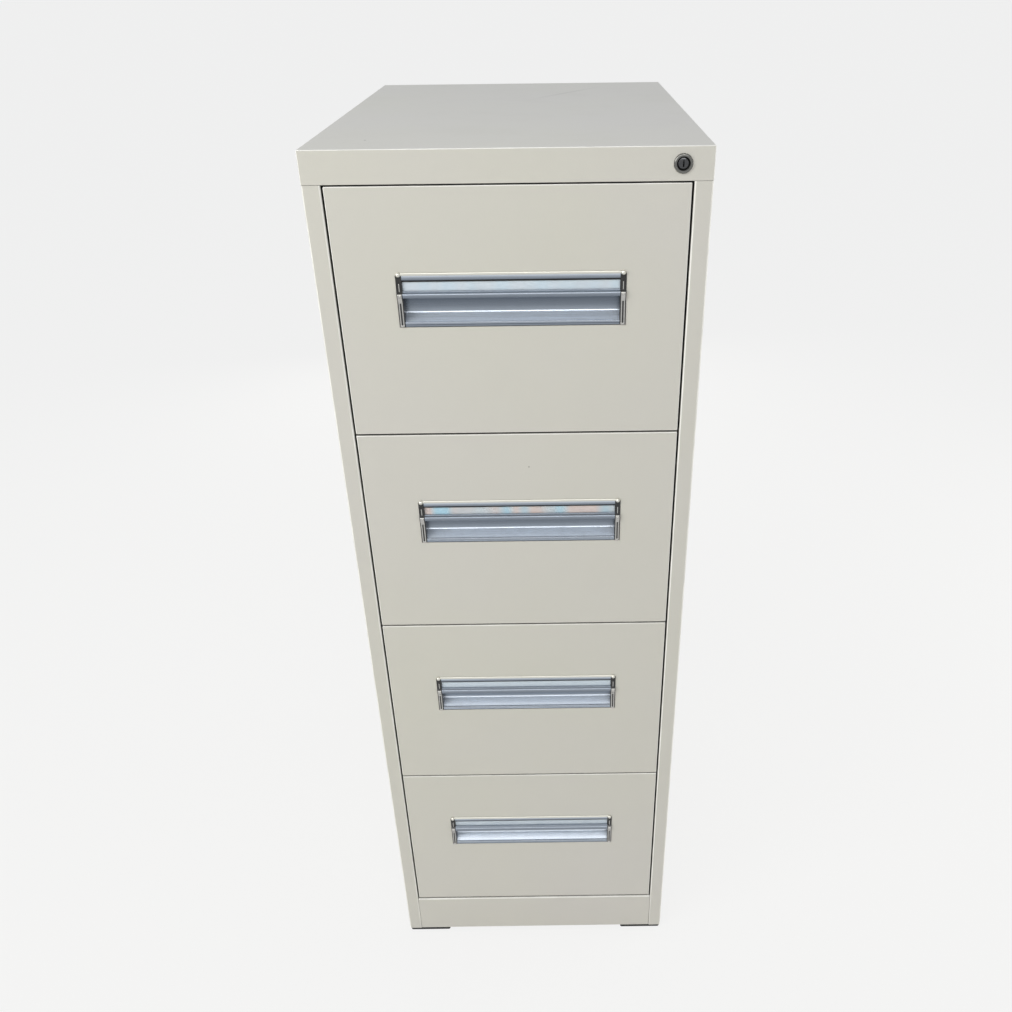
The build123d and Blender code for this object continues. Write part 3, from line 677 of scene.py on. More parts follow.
class Palette:
    """The materials of all finishes."""

    def __init__(self) -> None:
        """Build the effects and the materials."""
        Effects().build()
        self.materials = {look: finish.build(look.value) for look, finish in FINISHES.items()}

    def pick(self, slot: Slot, look: Look | None = None) -> bpy.types.Material:
        """Material of a finish, or of a slot if no finish is named."""
        return self.materials[look or SLOT_LOOKS[slot]]

    def dress_nodes(self, nodes: dict[str, bpy.types.Object], subparts: list[dict]) -> None:
        """Give every CAD node the material of its slot.

        Args:
            nodes: CAD objects by name.
            subparts: The record's list of nodes.
        """
        for part in subparts:
            for place in nodes[part["node"]].material_slots:
                place.material = self.pick(Slot(part["material_slot"]))
        log.info("%d CAD nodes dressed", len(subparts))


# Mesh work -----------------------------------------------------------------------------------


def box(bm: BMesh, low: Vector, high: Vector) -> None:
    """Add a box between two corners."""
    matrix = Matrix.Translation((low + high) / 2) @ Matrix.Diagonal((*(high - low), 1.0))
    bmesh.ops.create_cube(bm, size=1.0, matrix=matrix)


def open_box(low: Vector, high: Vector, missing: Vector) -> BMesh:
    """Box without one of its sides.

    Args:
        low: Its low corner.
        high: Its high corner.
        missing: Way that the missing side faces.

    Returns:
        The open mesh.
    """
    bm = bmesh.new()
    box(bm, low, high)
    side = [face for face in bm.faces if face.normal.dot(missing) > 0.5]
    bmesh.ops.delete(bm, geom=side, context="FACES_ONLY")
    return bm


def pick_edges(bm: BMesh, test: Callable[[Vector, Vector], bool]) -> list[BMEdge]:
    """Edges whose two ends pass a test."""
    return [edge for edge in bm.edges if test(edge.verts[0].co, edge.verts[1].co)]


def beside(edge: BMEdge, test: Callable[[BMFace], bool]) -> bool:
    """True if a face beside an edge passes a test."""
    return any(test(face) for face in edge.link_faces)


def along(axis: int, first: Vector, second: Vector) -> bool:
    """True if an edge runs along one axis."""
    return all(abs(first[i] - second[i]) < NEAR for i in range(3) if i != axis)


def round_edges(bm: BMesh, edges: Iterable[BMEdge], radius: float, segments: int = 5) -> None:
    """Round edges off.

    Args:
        bm: The mesh.
        edges: Edges to round.
        radius: Width of the bevel in metres.
        segments: Steps across it.
    """
    bmesh.ops.bevel(
        bm,
        geom=list(edges),
        offset=radius,
        offset_type="OFFSET",
        affect="EDGES",
        segments=segments,
        profile=0.5,
        material=-1,
        clamp_overlap=True,
    )


def push(bm: BMesh, made: dict[str, list], offset: Sequence[float]) -> list[BMVert]:
    """Move the new points of an extrusion.

    Args:
        bm: The mesh.
        made: Result of the extrude operator.
        offset: Way to move them.

    Returns:
        The points.
    """
    moved = [item for item in made["geom"] if isinstance(item, BMVert)]
    bmesh.ops.translate(bm, vec=offset, verts=moved)
    return moved


def faces_front(face: BMFace) -> bool:
    """True if a face looks towards the front."""
    return face.normal.y < -0.5


def cut_window(
    bm: BMesh, test: Callable[[BMFace], bool], uprights: Sequence[float], levels: Sequence[float]
) -> None:
    """Cut faces by upright and level planes.

    Args:
        bm: The mesh.
        test: Picks the faces.
        uprights: X of each upright plane.
        levels: Z of each level plane.
    """
    planes = [((x, 0, 0), (1, 0, 0)) for x in uprights] + [((0, 0, z), (0, 0, 1)) for z in levels]
    for place, normal in planes:
        faces = [face for face in bm.faces if test(face)]
        edges = {edge for face in faces for edge in face.edges}
        points = {point for face in faces for point in face.verts}
        bmesh.ops.bisect_plane(
            bm, geom=[*points, *edges, *faces], plane_co=place, plane_no=normal
        )


def open_window(bm: BMesh, place: Vector) -> list[BMEdge]:
    """Delete the front face whose middle is nearest to a place.

    Args:
        bm: The mesh.
        place: Middle of the window.

    Returns:
        The edges round it.
    """
    patch = min(
        filter(faces_front, bm.faces),
        key=lambda face: (face.calc_center_median() - place).length,
    )
    outline = list(patch.edges)
    bmesh.ops.delete(bm, geom=[patch], context="FACES_ONLY")
    return outline


def extruded(points: Sequence[Point], x0: float, x1: float) -> BMesh:
    """Bar with one outline, extruded along X.

    Args:
        points: Corners of the outline as Y and Z.
        x0: Left end.
        x1: Right end.

    Returns:
        The closed mesh.
    """
    bm = bmesh.new()
    face = bm.faces.new([bm.verts.new((x0, y, z)) for y, z in points])
    push(bm, bmesh.ops.extrude_face_region(bm, geom=[face]), (x1 - x0, 0, 0))
    bmesh.ops.recalc_face_normals(bm, faces=bm.faces)
    return bm


def folded(points: Sequence[Vector], travel: Vector, bend: float, outward: Vector) -> BMesh:
    """Thin sheet folded along a path.

    Args:
        points: Path of the sheet's outer side.
        travel: Length of the sheet across the path.
        bend: Outer radius of the folds.
        outward: Way that the outer side of its largest face looks.

    Returns:
        The open mesh, without its thickness.
    """
    bm = bmesh.new()
    start = [bm.verts.new(points[0]), bm.verts.new(points[0] + travel)]
    edge = bm.edges.new(start)
    for before, after in zip(points, points[1:]):
        made = bmesh.ops.extrude_edge_only(bm, edges=[edge])
        corners = set(push(bm, made, after - before))
        edge = next(item for item in bm.edges if set(item.verts) == corners)
    folds = [
        item
        for item in bm.edges
        if len(item.link_faces) == 2
        and any((end.co - corner).length < NEAR for end in item.verts for corner in points[1:-1])
    ]
    round_edges(bm, folds, bend)
    face_outwards(bm, outward)
    return bm


def face_outwards(bm: BMesh, outward: Vector) -> None:
    """Make an open sheet's normals agree.

    Args:
        bm: The mesh.
        outward: Way that its largest face looks.
    """
    bmesh.ops.recalc_face_normals(bm, faces=bm.faces)
    largest = max(bm.faces, key=lambda face: face.calc_area())
    largest.normal_update()
    if largest.normal.dot(outward) < 0:
        bmesh.ops.reverse_faces(bm, faces=bm.faces)


def mark_edge_highlight(bm: BMesh, least: float = 13.0, most: float = 60.0) -> None:
    """Mark the points inside rounded edges, where the paint gets a painted highlight.

    Args:
        bm: The mesh.
        least: Smallest angle between a rounded edge's faces, in degrees.
        most: Largest such angle; sharper edges are cut edges.
    """
    layer = bm.verts.layers.float.new(EDGE_HIGHLIGHT)
    for point in bm.verts:
        turns = [e.calc_face_angle() for e in point.link_edges if len(e.link_faces) == 2]
        sharpest = math.degrees(max(turns, default=0.0))
        point[layer] = 1.0 if least < sharpest < most else 0.0


class Piece:
    """Finished object of the visual model."""

    palette: Palette

    @classmethod
    def make(
        cls,
        name: str,
        bm: BMesh,
        body: str,
        slot: Slot,
        replaces: Sequence[str] = (),
        sheet: float = 0.0,
        smooth: float = 32.0,
        look: Look | None = None,
    ) -> bpy.types.Object:
        """Turn a mesh into an object that rides on a CAD body.

        Args:
            name: Name of the piece.
            bm: Its mesh, freed here.
            body: CAD body that carries it.
            slot: Its material slot.
            replaces: CAD nodes that it stands for.
            sheet: Thickness added inwards, 0 for a closed mesh.
            smooth: Largest angle in degrees that is shaded smooth.
            look: Its finish, that of the slot if none is given.

        Returns:
            The object.
        """
        if slot is Slot.CASE_PAINT:
            mark_edge_highlight(bm)
        mesh = bpy.data.meshes.new(name)
        bm.edges.index_update()
        open_edges = [edge.index for edge in bm.edges if len(edge.link_faces) == 1]
        bm.to_mesh(mesh)
        bm.free()
        mesh.shade_smooth()
        mesh.set_sharp_from_angle(angle=math.radians(smooth))
        for index in open_edges:
            mesh.edges[index].use_edge_sharp = True
        mesh.materials.append(cls.palette.pick(slot, look))
        piece = bpy.data.objects.new(name, mesh)
        bpy.context.scene.collection.objects.link(piece)
        if sheet:
            wall = piece.modifiers.new("thickness", "SOLIDIFY")
            wall.thickness = sheet
            wall.offset = -1.0
            wall.use_even_offset = True
        normals = piece.modifiers.new("flat_faces", "WEIGHTED_NORMAL")
        normals.keep_sharp = True
        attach(piece, body)
        if replaces:
            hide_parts(*replaces)
        log.info("%s: %d faces on %s", name, len(mesh.polygons), body)
        return piece


# The cabinet ---------------------------------------------------------------------------------


@dataclass
class Case:
    """Fixed steel case: cover, side panels, plinth and feet."""

    sheet: float = 1.0 * MM
    bend: float = 2.0 * MM
    rim: float = 2.5 * MM
    corner: float = 0.9 * MM
    hole_radius: float = 9.2 * MM
    hole_steps: int = 48
    hole_margin: float = 14.0 * MM
    cap_return: float = 15.0 * MM
    cap_seam: float = 0.4 * MM
    stile_width: float = 21.0 * MM
    stile_return: float = 18.0 * MM
    rear_flange: float = 15.0 * MM
    floor_flange: float = 15.0 * MM
    flange_setback: float = 22.0 * MM
    tongue_setback: float = 36.0 * MM
    tongue_lap: float = 10.0 * MM
    tongue_rise: float = 38.0 * MM
    plinth_return: float = 16.0 * MM
    foot_length: float = 70.0 * MM
    foot_depth: float = 50.0 * MM
    foot_corner: float = 3.0 * MM
    foot_edge: float = 1.0 * MM

    def build(self) -> None:
        """Build every piece of the case."""
        self.top_cover()
        self.side_panel("side_panel_right", 1.0)
        self.side_panel("side_panel_left", -1.0)
        self.plinth()
        self.feet()

    def painted(self, node: str, bm: BMesh) -> None:
        """Make the painted sheet that stands for a CAD node."""
        Piece.make(node + "_shell", bm, "cabinet", Slot.CASE_PAINT, [node], self.sheet)

    def top_cover(self) -> None:
        """Pan with rounded edges, a return under the front band and the lock's hole."""
        low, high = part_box("top_cover")
        bm = open_box(low, high, Vector((0, 0, -1)))
        self.pierce(bm, low.y)

        def is_corner(point: Vector) -> bool:
            """True at one of the four upright corners."""
            gaps = [min(abs(point[i] - low[i]), abs(point[i] - high[i])) for i in (0, 1)]
            return max(gaps) < NEAR

        upright = pick_edges(bm, lambda a, b: along(2, a, b) and is_corner(a))
        round_edges(bm, upright, self.corner)
        rim = pick_edges(bm, lambda a, b: min(a.z, b.z) > high.z - NEAR)
        rim = [edge for edge in rim if beside(edge, lambda face: abs(face.normal.z) < 0.5)]
        round_edges(bm, rim, self.rim)
        band_y, band_z = low.y + NEAR, low.z + NEAR
        lip = pick_edges(bm, lambda a, b: max(a.z, b.z) < band_z and max(a.y, b.y) < band_y)
        push(bm, bmesh.ops.extrude_edge_only(bm, edges=lip), (0, self.cap_return, 0))
        face_outwards(bm, Vector((0, 0, 1)))
        self.painted("top_cover", bm)

    def pierce(self, bm: BMesh, front: float) -> None:
        """Cut the round hole of the lock in the front band.

        Args:
            bm: The cover's mesh.
            front: Y of the band.
        """
        low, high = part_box("lock_housing")
        centre = (low + high) / 2
        uprights, levels = (
            (middle - self.hole_margin, middle + self.hole_margin)
            for middle in (centre.x, centre.z)
        )
        cut_window(bm, faces_front, uprights, levels)
        place = Vector((centre.x, front, centre.z))
        outer = open_window(bm, place)
        turn = Matrix.Translation(place) @ Matrix.Rotation(math.pi / 2, 4, "X")
        ring = bmesh.ops.create_circle(
            bm, segments=self.hole_steps, radius=self.hole_radius, matrix=turn
        )["verts"]
        inner = {edge for point in ring for edge in point.link_edges}
        bmesh.ops.triangle_fill(bm, edges=[*outer, *inner], use_beauty=True, normal=(0, -1, 0))

    def side_panel(self, node: str, side: float) -> None:
        """Wall with its stile, rear flange, floor flange and the tongue in the cover.

        Args:
            node: CAD node that the piece stands for.
            side: 1 on the right, -1 on the left.
        """
        low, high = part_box(node)
        wall = max(abs(low.x), abs(high.x))
        inside = wall - self.sheet
        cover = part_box("top_cover")[0].z
        bottom, top = low.z, cover - self.cap_seam
        path = [
            (wall - self.rear_flange, high.y),
            (wall, high.y),
            (wall, low.y),
            (wall - self.stile_width, low.y),
            (wall - self.stile_width, low.y + self.stile_return),
        ]
        points = [Vector((side * x, y, bottom)) for x, y in path]
        outward = Vector((side, 0, 0))
        bm = folded(points, Vector((0, 0, top - bottom)), self.bend, outward)
        front, rear = low.y + self.flange_setback, high.y - self.flange_setback
        edge = inside - self.floor_flange
        flange = [(x, y, bottom) for x, y in ((edge, front), (inside, front))]
        flange += [(x, y, bottom) for x, y in ((inside, rear), (edge, rear))]
        front, rear = low.y + self.tongue_setback, high.y - self.tongue_setback
        foot = cover - self.tongue_lap
        tongue = [(inside, y, foot) for y in (front, rear)]
        tongue += [(inside, y, foot + self.tongue_rise) for y in (rear, front)]
        for corners, normal in ((flange, Vector((0, 0, -1))), (tongue, outward)):
            face = bm.faces.new([bm.verts.new((side * x, y, z)) for x, y, z in corners])
            face.normal_update()
            if face.normal.dot(normal) < 0:
                face.normal_flip()
        self.painted(node, bm)

    def plinth(self) -> None:
        """Channel between the stiles."""
        low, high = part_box("front_plinth")
        rear = low.y + self.plinth_return
        path = [(rear, high.z), (low.y, high.z), (low.y, low.z), (rear, low.z)]
        points = [Vector((low.x, y, z)) for y, z in path]
        bm = folded(points, Vector((high.x - low.x, 0, 0)), self.bend, Vector((0, -1, 0)))
        self.painted("front_plinth", bm)

    def feet(self) -> None:
        """Four moulded pads with softened edges."""
        low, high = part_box("feet")
        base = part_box("side_panel_right")[0].z
        bm = bmesh.new()
        for x in (low.x, high.x - self.foot_length):
            for y in (low.y, high.y - self.foot_depth):
                far = Vector((x + self.foot_length, y + self.foot_depth, base))
                box(bm, Vector((x, y, low.z)), far)
        round_edges(bm, pick_edges(bm, lambda a, b: along(2, a, b)), self.foot_corner, 4)
        rims = pick_edges(bm, lambda a, b: abs(a.z - b.z) < NEAR and a.z < low.z + NEAR)
        round_edges(bm, rims, self.foot_edge, 3)
        Piece.make("foot_pads", bm, "cabinet", Slot.BLACK_PLASTIC, ["feet"])


@dataclass
class Lock:
    """Cylinder lock in the cover's front band."""

    ring_radius: float = 10.5 * MM
    ring_out: float = 2.5 * MM
    cup_radius: float = 7.0 * MM
    barrel_radius: float = 9.0 * MM
    bore_radius: float = 6.1 * MM
    plug_radius: float = 6.0 * MM
    plug_recess: float = 0.7 * MM
    keyway_width: float = 1.6 * MM
    keyway_height: float = 7.0 * MM
    keyway_depth: float = 9.0 * MM
    dome: float = 1.9 * MM
    dome_spread: float = 0.94
    dome_shares: tuple[float, ...] = (0.0, 0.12, 0.3, 0.45, 0.6, 0.72, 0.82, 0.9, 0.96, 1.0)
    tang: float = 3.0 * MM
    tang_length: float = 1.8 * MM
    steps: int = 64

    def build(self) -> None:
        """Build the housing and the plug."""
        low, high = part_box("lock_housing")
        self.centre = Vector(((low.x + high.x) / 2, low.y, (low.z + high.z) / 2))
        self.length = high.y - low.y
        self.housing()
        self.plug()

    def turned(self, profile: Sequence[Point], ring: bool = True) -> BMesh:
        """Spin a profile round the lock's axis.

        Args:
            profile: Points as radius and distance behind the ring's face.
            ring: True if the profile closes on itself, false if it runs from axis to axis.

        Returns:
            The closed mesh.
        """
        bm = bmesh.new()
        points = [bm.verts.new(self.centre + Vector((r, y, 0))) for r, y in profile]
        pairs = zip(points, points[1:] + points[:1]) if ring else zip(points, points[1:])
        edges = [bm.edges.new(pair) for pair in pairs]
        bmesh.ops.spin(
            bm,
            geom=[*points, *edges],
            cent=self.centre,
            axis=(0, 1, 0),
            angle=2 * math.pi,
            steps=self.steps,
            use_merge=True,
        )
        bmesh.ops.remove_doubles(bm, verts=bm.verts, dist=1e-7)
        bmesh.ops.recalc_face_normals(bm, faces=bm.faces)
        return bm

    def dome_depth(self, share: float) -> float:
        """Distance of the plug's domed face behind the ring, at a share of its radius."""
        slope = self.dome_spread * share
        return self.plug_recess + self.dome * (1 - math.sqrt(1 - slope**2))

    def housing(self) -> None:
        """Rosette with a domed ring and a cup, and the barrel behind it."""
        cup, ring = self.cup_radius, self.ring_radius
        profile = [
            (self.bore_radius, self.length),
            (self.bore_radius, 2.4 * MM),
            (cup - 0.5 * MM, 2.0 * MM),
            (cup + 0.2 * MM, 0.5 * MM),
            (cup + 0.5 * MM, 0.1 * MM),
            (cup + 1.1 * MM, 0.0),
            (ring - 1.4 * MM, 0.25 * MM),
            (ring - 0.6 * MM, 0.7 * MM),
            (ring - 0.15 * MM, 1.4 * MM),
            (ring, 2.1 * MM),
            (ring, self.ring_out),
            (self.barrel_radius, self.ring_out),
            (self.barrel_radius, self.length),
        ]
        bm = self.turned(profile)
        Piece.make("lock_rosette", bm, "cabinet", Slot.SATIN_CHROME, ["lock_housing"])

    def plug(self) -> None:
        """Domed plug with its keyway and the square tang of the cam."""
        centre = self.centre
        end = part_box("lock_plug")[1].y
        shoulder = end - self.tang_length
        length = shoulder - centre.y
        dome = [(share * self.plug_radius, self.dome_depth(share)) for share in self.dome_shares]
        bm = self.turned([*dome, (self.plug_radius, length), (0.0, length)], ring=False)
        half_width, half_height = self.keyway_width / 2, self.keyway_height / 2
        dome_end = centre.y + self.plug_recess + self.dome
        cut_window(
            bm,
            lambda face: all(point.co.y < dome_end + 0.1 * MM for point in face.verts),
            (centre.x - half_width, centre.x + half_width),
            (centre.z - half_height, centre.z + half_height),
        )
        mouth = []
        for face in bm.faces:
            middle = face.calc_center_median()
            across, up = abs(middle.x - centre.x), abs(middle.z - centre.z)
            if across < half_width and up < half_height and middle.y < dome_end:
                mouth.append(face)
        made = bmesh.ops.extrude_face_region(bm, geom=mouth)
        push(bm, made, (0, self.keyway_depth, 0))
        old = [face for face in mouth if face.is_valid]
        bmesh.ops.delete(bm, geom=old, context="FACES")
        low = Vector((centre.x - self.tang, shoulder, centre.z - self.tang))
        box(bm, low, Vector((centre.x + self.tang, end, centre.z + self.tang)))
        bmesh.ops.recalc_face_normals(bm, faces=bm.faces)
        slot, look = Slot.SATIN_CHROME, Look.DARK_CHROME
        Piece.make("lock_plug_face", bm, "lock", slot, ["lock_plug"], look=look)


# Outlines of the handle's parts. Each corner is given in millimetres behind the drawer's face,
# below the handle's top and as its radius; the handle's corners also have their share of painted
# shade.
HANDLE = (
    (2.6, -0.1, 0.0, 1.0),
    (-0.9, -0.1, 0.0, 0.3),
    (-0.9, 1.0, 0.0, 0.35),
    (-0.9, 2.2, 0.0, 0.65),
    (-0.5, 5.4, 0.4, 0.88),
    (1.2, 5.7, 0.0, 1.0),
    (1.2, 4.8, 0.0, 1.0),
    (2.6, 4.8, 0.0, 1.0),
    (2.6, 21.8, 0.0, 1.0),
    (1.2, 21.8, 0.0, 1.0),
    (1.2, 18.1, 0.0, 0.86),
    (-0.2, 18.0, 0.3, 0.75),
    (-0.2, 19.2, 0.3, 0.7),
    (-3.4, 20.6, 0.9, 0.76),
    (-4.1, 22.2, 0.4, 0.78),
    (-3.9, 25.6, 0.5, 0.9),
    (-2.2, 25.8, 0.4, 0.6),
    (4.2, 23.4, 1.5, 0.5),
    (4.2, 1.6, 0.6, 0.3),
    (14.2, 1.6, 2.0, 0.3),
    (14.2, 30.5, 0.0, 1.0),
    (14.2, 40.5, 0.0, 0.86),
    (14.2, 45.2, 0.0, 0.7),
    (14.2, 47.5, 1.9, 0.0),
    (7.4, 51.1, 0.0, 0.04),
    (1.6, 54.6, 0.5, 0.0),
    (-0.7, 55.0, 0.5, 0.55),
    (-0.7, 57.6, 0.0, 0.74),
    (0.0, 58.2, 0.0, 0.94),
    (-0.5, 58.7, 0.0, 0.74),
    (-0.5, 60.4, 0.4, 0.84),
    (0.2, 60.8, 0.0, 0.95),
    (1.6, 60.8, 0.0, 1.0),
    (1.6, 56.2, 0.0, 1.0),
    (15.4, 48.6, 2.0, 1.0),
    (15.4, -0.1, 0.0, 1.0),
)
TOP_BEAD = (
    (1.2, -0.2, 0.0),
    (-0.05, -0.2, 0.0),
    (-0.05, -3.1, 0.3),
    (-1.5, -3.1, 1.2),
    (-1.5, 0.1, 0.5),
    (1.2, 0.1, 0.0),
)
# Dark strip under the top flange: a painted shadow of the flange on the label.
SHADOW_STRIP = ((1.25, 5.3, 0.0), (0.0, 5.3, 0.0), (0.5, 7.7, 0.4), (1.25, 7.7, 0.0))
END_CAP = (
    (15.4, 0.2, 0.0),
    (-0.9, 0.2, 0.5),
    (-0.9, 19.0, 0.4),
    (-3.4, 20.8, 0.8),
    (-3.4, 25.8, 0.8),
    (-0.9, 30.0, 1.0),
    (-0.9, 60.8, 0.6),
    (1.6, 60.8, 0.0),
    (15.4, 49.6, 2.0),
)
ELBOW = (
    (0.0, 20.0, 0.0),
    (-4.2, 21.0, 1.0),
    (-4.2, 26.2, 1.0),
    (-1.8, 30.4, 1.5),
    (-1.8, 32.0, 0.5),
    (0.0, 32.0, 0.0),
)
RAIL = ((0.0, 31.0, 0.0), (-1.6, 31.0, 0.0), (-1.6, 60.4, 0.5), (0.0, 60.4, 0.0))
FOOT = ((0.0, 58.4, 0.0), (-1.8, 58.4, 0.5), (-1.8, 60.8, 0.8), (0.0, 60.8, 0.0))
STRIP = ((0.0, 9.2, 0.0), (-1.2, 9.2, 0.5), (-1.2, 18.8, 0.5), (0.0, 18.8, 0.0))
# Ribs of an end cap: outline, millimetres from its inner and outer side, and end radius.
CAP_RIBS = (
    (ELBOW, 1.1, 0.9, 1.0),
    (RAIL, 1.1, 4.2, 0.5),
    (RAIL, 4.4, 0.9, 0.5),
    (FOOT, 1.1, 0.9, 0.6),
    (STRIP, 3.0, 2.8, 0.3),
)
# Beads of an end cap: behind, below and radius in millimetres.
CAP_BEADS = ((-1.4, -1.2, 2.9), (-2.9, 22.8, 1.5))


@dataclass
class Drawer:
    """One drawer's visible pieces."""

    number: int
    sheet: float = 1.0 * MM
    edge: float = 2.2 * MM
    corner: float = 1.0 * MM
    window_fit: float = 0.3 * MM
    cap_width: float = 7.0 * MM
    cap_edge: float = 0.4 * MM
    bead_lap: float = 3.0 * MM
    bead_inset: float = 3.4 * MM

    def build(self) -> None:
        """Build the front, the handle and its end caps."""
        self.name = f"drawer_{self.number}"
        self.low, self.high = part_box(self.name + "_front_panel")
        caps_low, caps_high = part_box(self.name + "_handle_caps")
        self.handle_top = caps_high.z
        self.handle_bottom = caps_low.z
        self.handle_half = caps_high.x
        self.reach = self.handle_half - self.cap_width
        self.front()
        self.handle()
        self.trims()
        self.end_caps()

    def put(self, name: str, bm: BMesh, slot: Slot, node: str = "", **options: object) -> None:
        """Make a piece that rides on this drawer.

        Args:
            name: Name of the piece, without the drawer's.
            bm: Its mesh.
            slot: Its material slot.
            node: CAD node that it stands for, without the drawer's name.
            **options: Further arguments of Piece.make.
        """
        replaces = [f"{self.name}_{node}"] if node else []
        Piece.make(f"{self.name}_{name}", bm, self.name, slot, replaces, **options)

    def front(self) -> None:
        """Pan with rounded edges and the handle's window."""
        front = self.low.y
        bm = open_box(self.low, self.high, Vector((0, 1, 0)))
        half = self.handle_half + self.window_fit
        top = self.handle_top + self.window_fit
        bottom = self.handle_bottom + 2 * self.window_fit
        cut_window(bm, faces_front, (half, -half), (top, bottom))
        open_window(bm, Vector((0, front, (top + bottom) / 2)))
        round_edges(bm, pick_edges(bm, lambda a, b: along(1, a, b)), self.corner)
        outline = [
            edge
            for edge in pick_edges(bm, lambda a, b: max(a.y, b.y) < front + NEAR)
            if len(edge.link_faces) == 2 and beside(edge, lambda face: abs(face.normal.y) < 0.5)
        ]
        round_edges(bm, outline, self.edge)
        face_outwards(bm, Vector((0, -1, 0)))
        self.put("front_shell", bm, Slot.CASE_PAINT, "front_panel", sheet=self.sheet)

    def outline_point(self, behind: float, below: float) -> Point:
        """Y and Z of a point given in millimetres behind the face and below the handle's top."""
        return self.low.y + behind * MM, self.handle_top - below * MM

    def rounded_bar(
        self, outline: Sequence[Place], x0: float, x1: float, end: float = 0.0
    ) -> BMesh:
        """Extruded bar whose long edges are rounded one by one.

        Args:
            outline: Points as behind, below and radius, in millimetres.
            x0: Left end.
            x1: Right end.
            end: Radius of the end faces' edges in metres, 0 for none.

        Returns:
            The closed mesh.
        """
        points = [self.outline_point(behind, below) for behind, below, _ in outline]
        bm = extruded(points, x0, x1)
        radii = sorted({radius for _, _, radius in outline if radius > 0}, reverse=True)
        for radius in radii:
            places = [p for p, corner in zip(points, outline) if corner[2] == radius]
            edges = pick_edges(
                bm,
                lambda a, b: along(0, a, b)
                and any(abs(a.y - y) < 1e-7 and abs(a.z - z) < 1e-7 for y, z in places),
            )
            round_edges(bm, edges, radius * MM)
        if end:
            rims = [edge for edge in bm.edges if self.is_rim(edge)]
            round_edges(bm, rims, end, 2)
        return bm

    @staticmethod
    def is_rim(edge: BMEdge) -> bool:
        """True for an edge between an end face of a bar and its side."""
        ends = [abs(face.normal.x) > 0.9 for face in edge.link_faces]
        return len(ends) == 2 and ends[0] != ends[1]

    def handle(self) -> None:
        """Extrusion with label grooves, pull lip, finger pocket and rim, with painted shade in its
        folds.
        """
        bm = self.rounded_bar([corner[:3] for corner in HANDLE], -self.reach, self.reach)
        # Share of painted shade at each point, taken from the nearest corner of the outline.
        layer = bm.verts.layers.float.new(PAINTED_SHADE)
        places = [(*self.outline_point(behind, below), painted_dark) for behind, below, _, painted_dark in HANDLE]
        for point in bm.verts:
            nearest = min(places, key=lambda p: (p[0] - point.co.y) ** 2 + (p[1] - point.co.z) ** 2)
            point[layer] = nearest[2]
        self.put("handle_bar", bm, Slot.ALUMINIUM, "handle")

    def trims(self) -> None:
        """Polished bead along the handle's top and a dark strip over the label that stands in for
        the flange's shadow.
        """
        half = self.reach + self.bead_lap
        bead = self.rounded_bar(TOP_BEAD, -half, half)
        self.put("top_bead", bead, Slot.ALUMINIUM, look=Look.POLISHED_TRIM)
        # Dark strip that paints the flange's shadow on the label.
        shadow_strip = self.rounded_bar(SHADOW_STRIP, -self.reach, self.reach)
        self.put("label_shadow_strip", shadow_strip, Slot.BLACK_PLASTIC)

    @staticmethod
    def paired(bm: BMesh) -> BMesh:
        """Repeat a mesh on the other side of the middle.

        Args:
            bm: The mesh.

        Returns:
            The same mesh.
        """
        geometry = [*bm.verts, *bm.edges, *bm.faces]
        bmesh.ops.mirror(bm, geom=geometry, axis="X", merge_dist=-1.0)
        bmesh.ops.recalc_face_normals(bm, faces=bm.faces)
        return bm

    def end_caps(self) -> None:
        """Dark end caps with a bright rib, and a bright bead at the top and at the lip."""
        inner, outer = self.reach, self.handle_half
        caps = self.paired(self.rounded_bar(END_CAP, inner, outer, self.cap_edge))
        self.put("cap_bodies", caps, Slot.BLACK_PLASTIC, "handle_caps", look=Look.GLOSS_BLACK)
        ribs = bmesh.new()
        for outline, start, end, edge in CAP_RIBS:
            bar = self.rounded_bar(outline, inner + start * MM, outer - end * MM, edge * MM)
            self.join(ribs, bar)
        self.put("cap_ribs", self.paired(ribs), Slot.BRIGHT_CHROME)
        beads = bmesh.new()
        for behind, below, radius in CAP_BEADS:
            y, z = self.outline_point(behind, below)
            place = Matrix.Translation((inner + self.bead_inset, y, z))
            bmesh.ops.create_uvsphere(
                beads, u_segments=28, v_segments=16, radius=radius * MM, matrix=place
            )
        slot, look = Slot.BRIGHT_CHROME, Look.POLISHED_TRIM
        self.put("cap_beads", self.paired(beads), slot, smooth=60.0, look=look)

    @staticmethod
    def join(bm: BMesh, other: BMesh) -> None:
        """Add a second mesh to the first.

        Args:
            bm: The first mesh.
            other: The second mesh, freed here.
        """
        mesh = bpy.data.meshes.new("joined")
        other.to_mesh(mesh)
        other.free()
        bm.from_mesh(mesh)
        bpy.data.meshes.remove(mesh)


# The studio ----------------------------------------------------------------------------------


@dataclass(frozen=True)
class Lamp:
    """Soft rectangular lamp."""

    name: str
    place: Place
    target: Place
    size: Point
    power: float
    colour: Colour = (1.0, 0.99, 0.96)

    def build(self) -> None:
        """Hang the lamp."""
        data = bpy.data.lights.new(self.name, "AREA")
        data.shape = "RECTANGLE"
        data.size, data.size_y = self.size
        data.energy = self.power
        data.color = self.colour
        lamp = bpy.data.objects.new(self.name, data)
        lamp.location = self.place
        direction = Vector(self.target) - Vector(self.place)
        lamp.rotation_euler = direction.to_track_quat("-Z", "Y").to_euler()
        lamp.visible_camera = False
        bpy.context.scene.collection.objects.link(lamp)


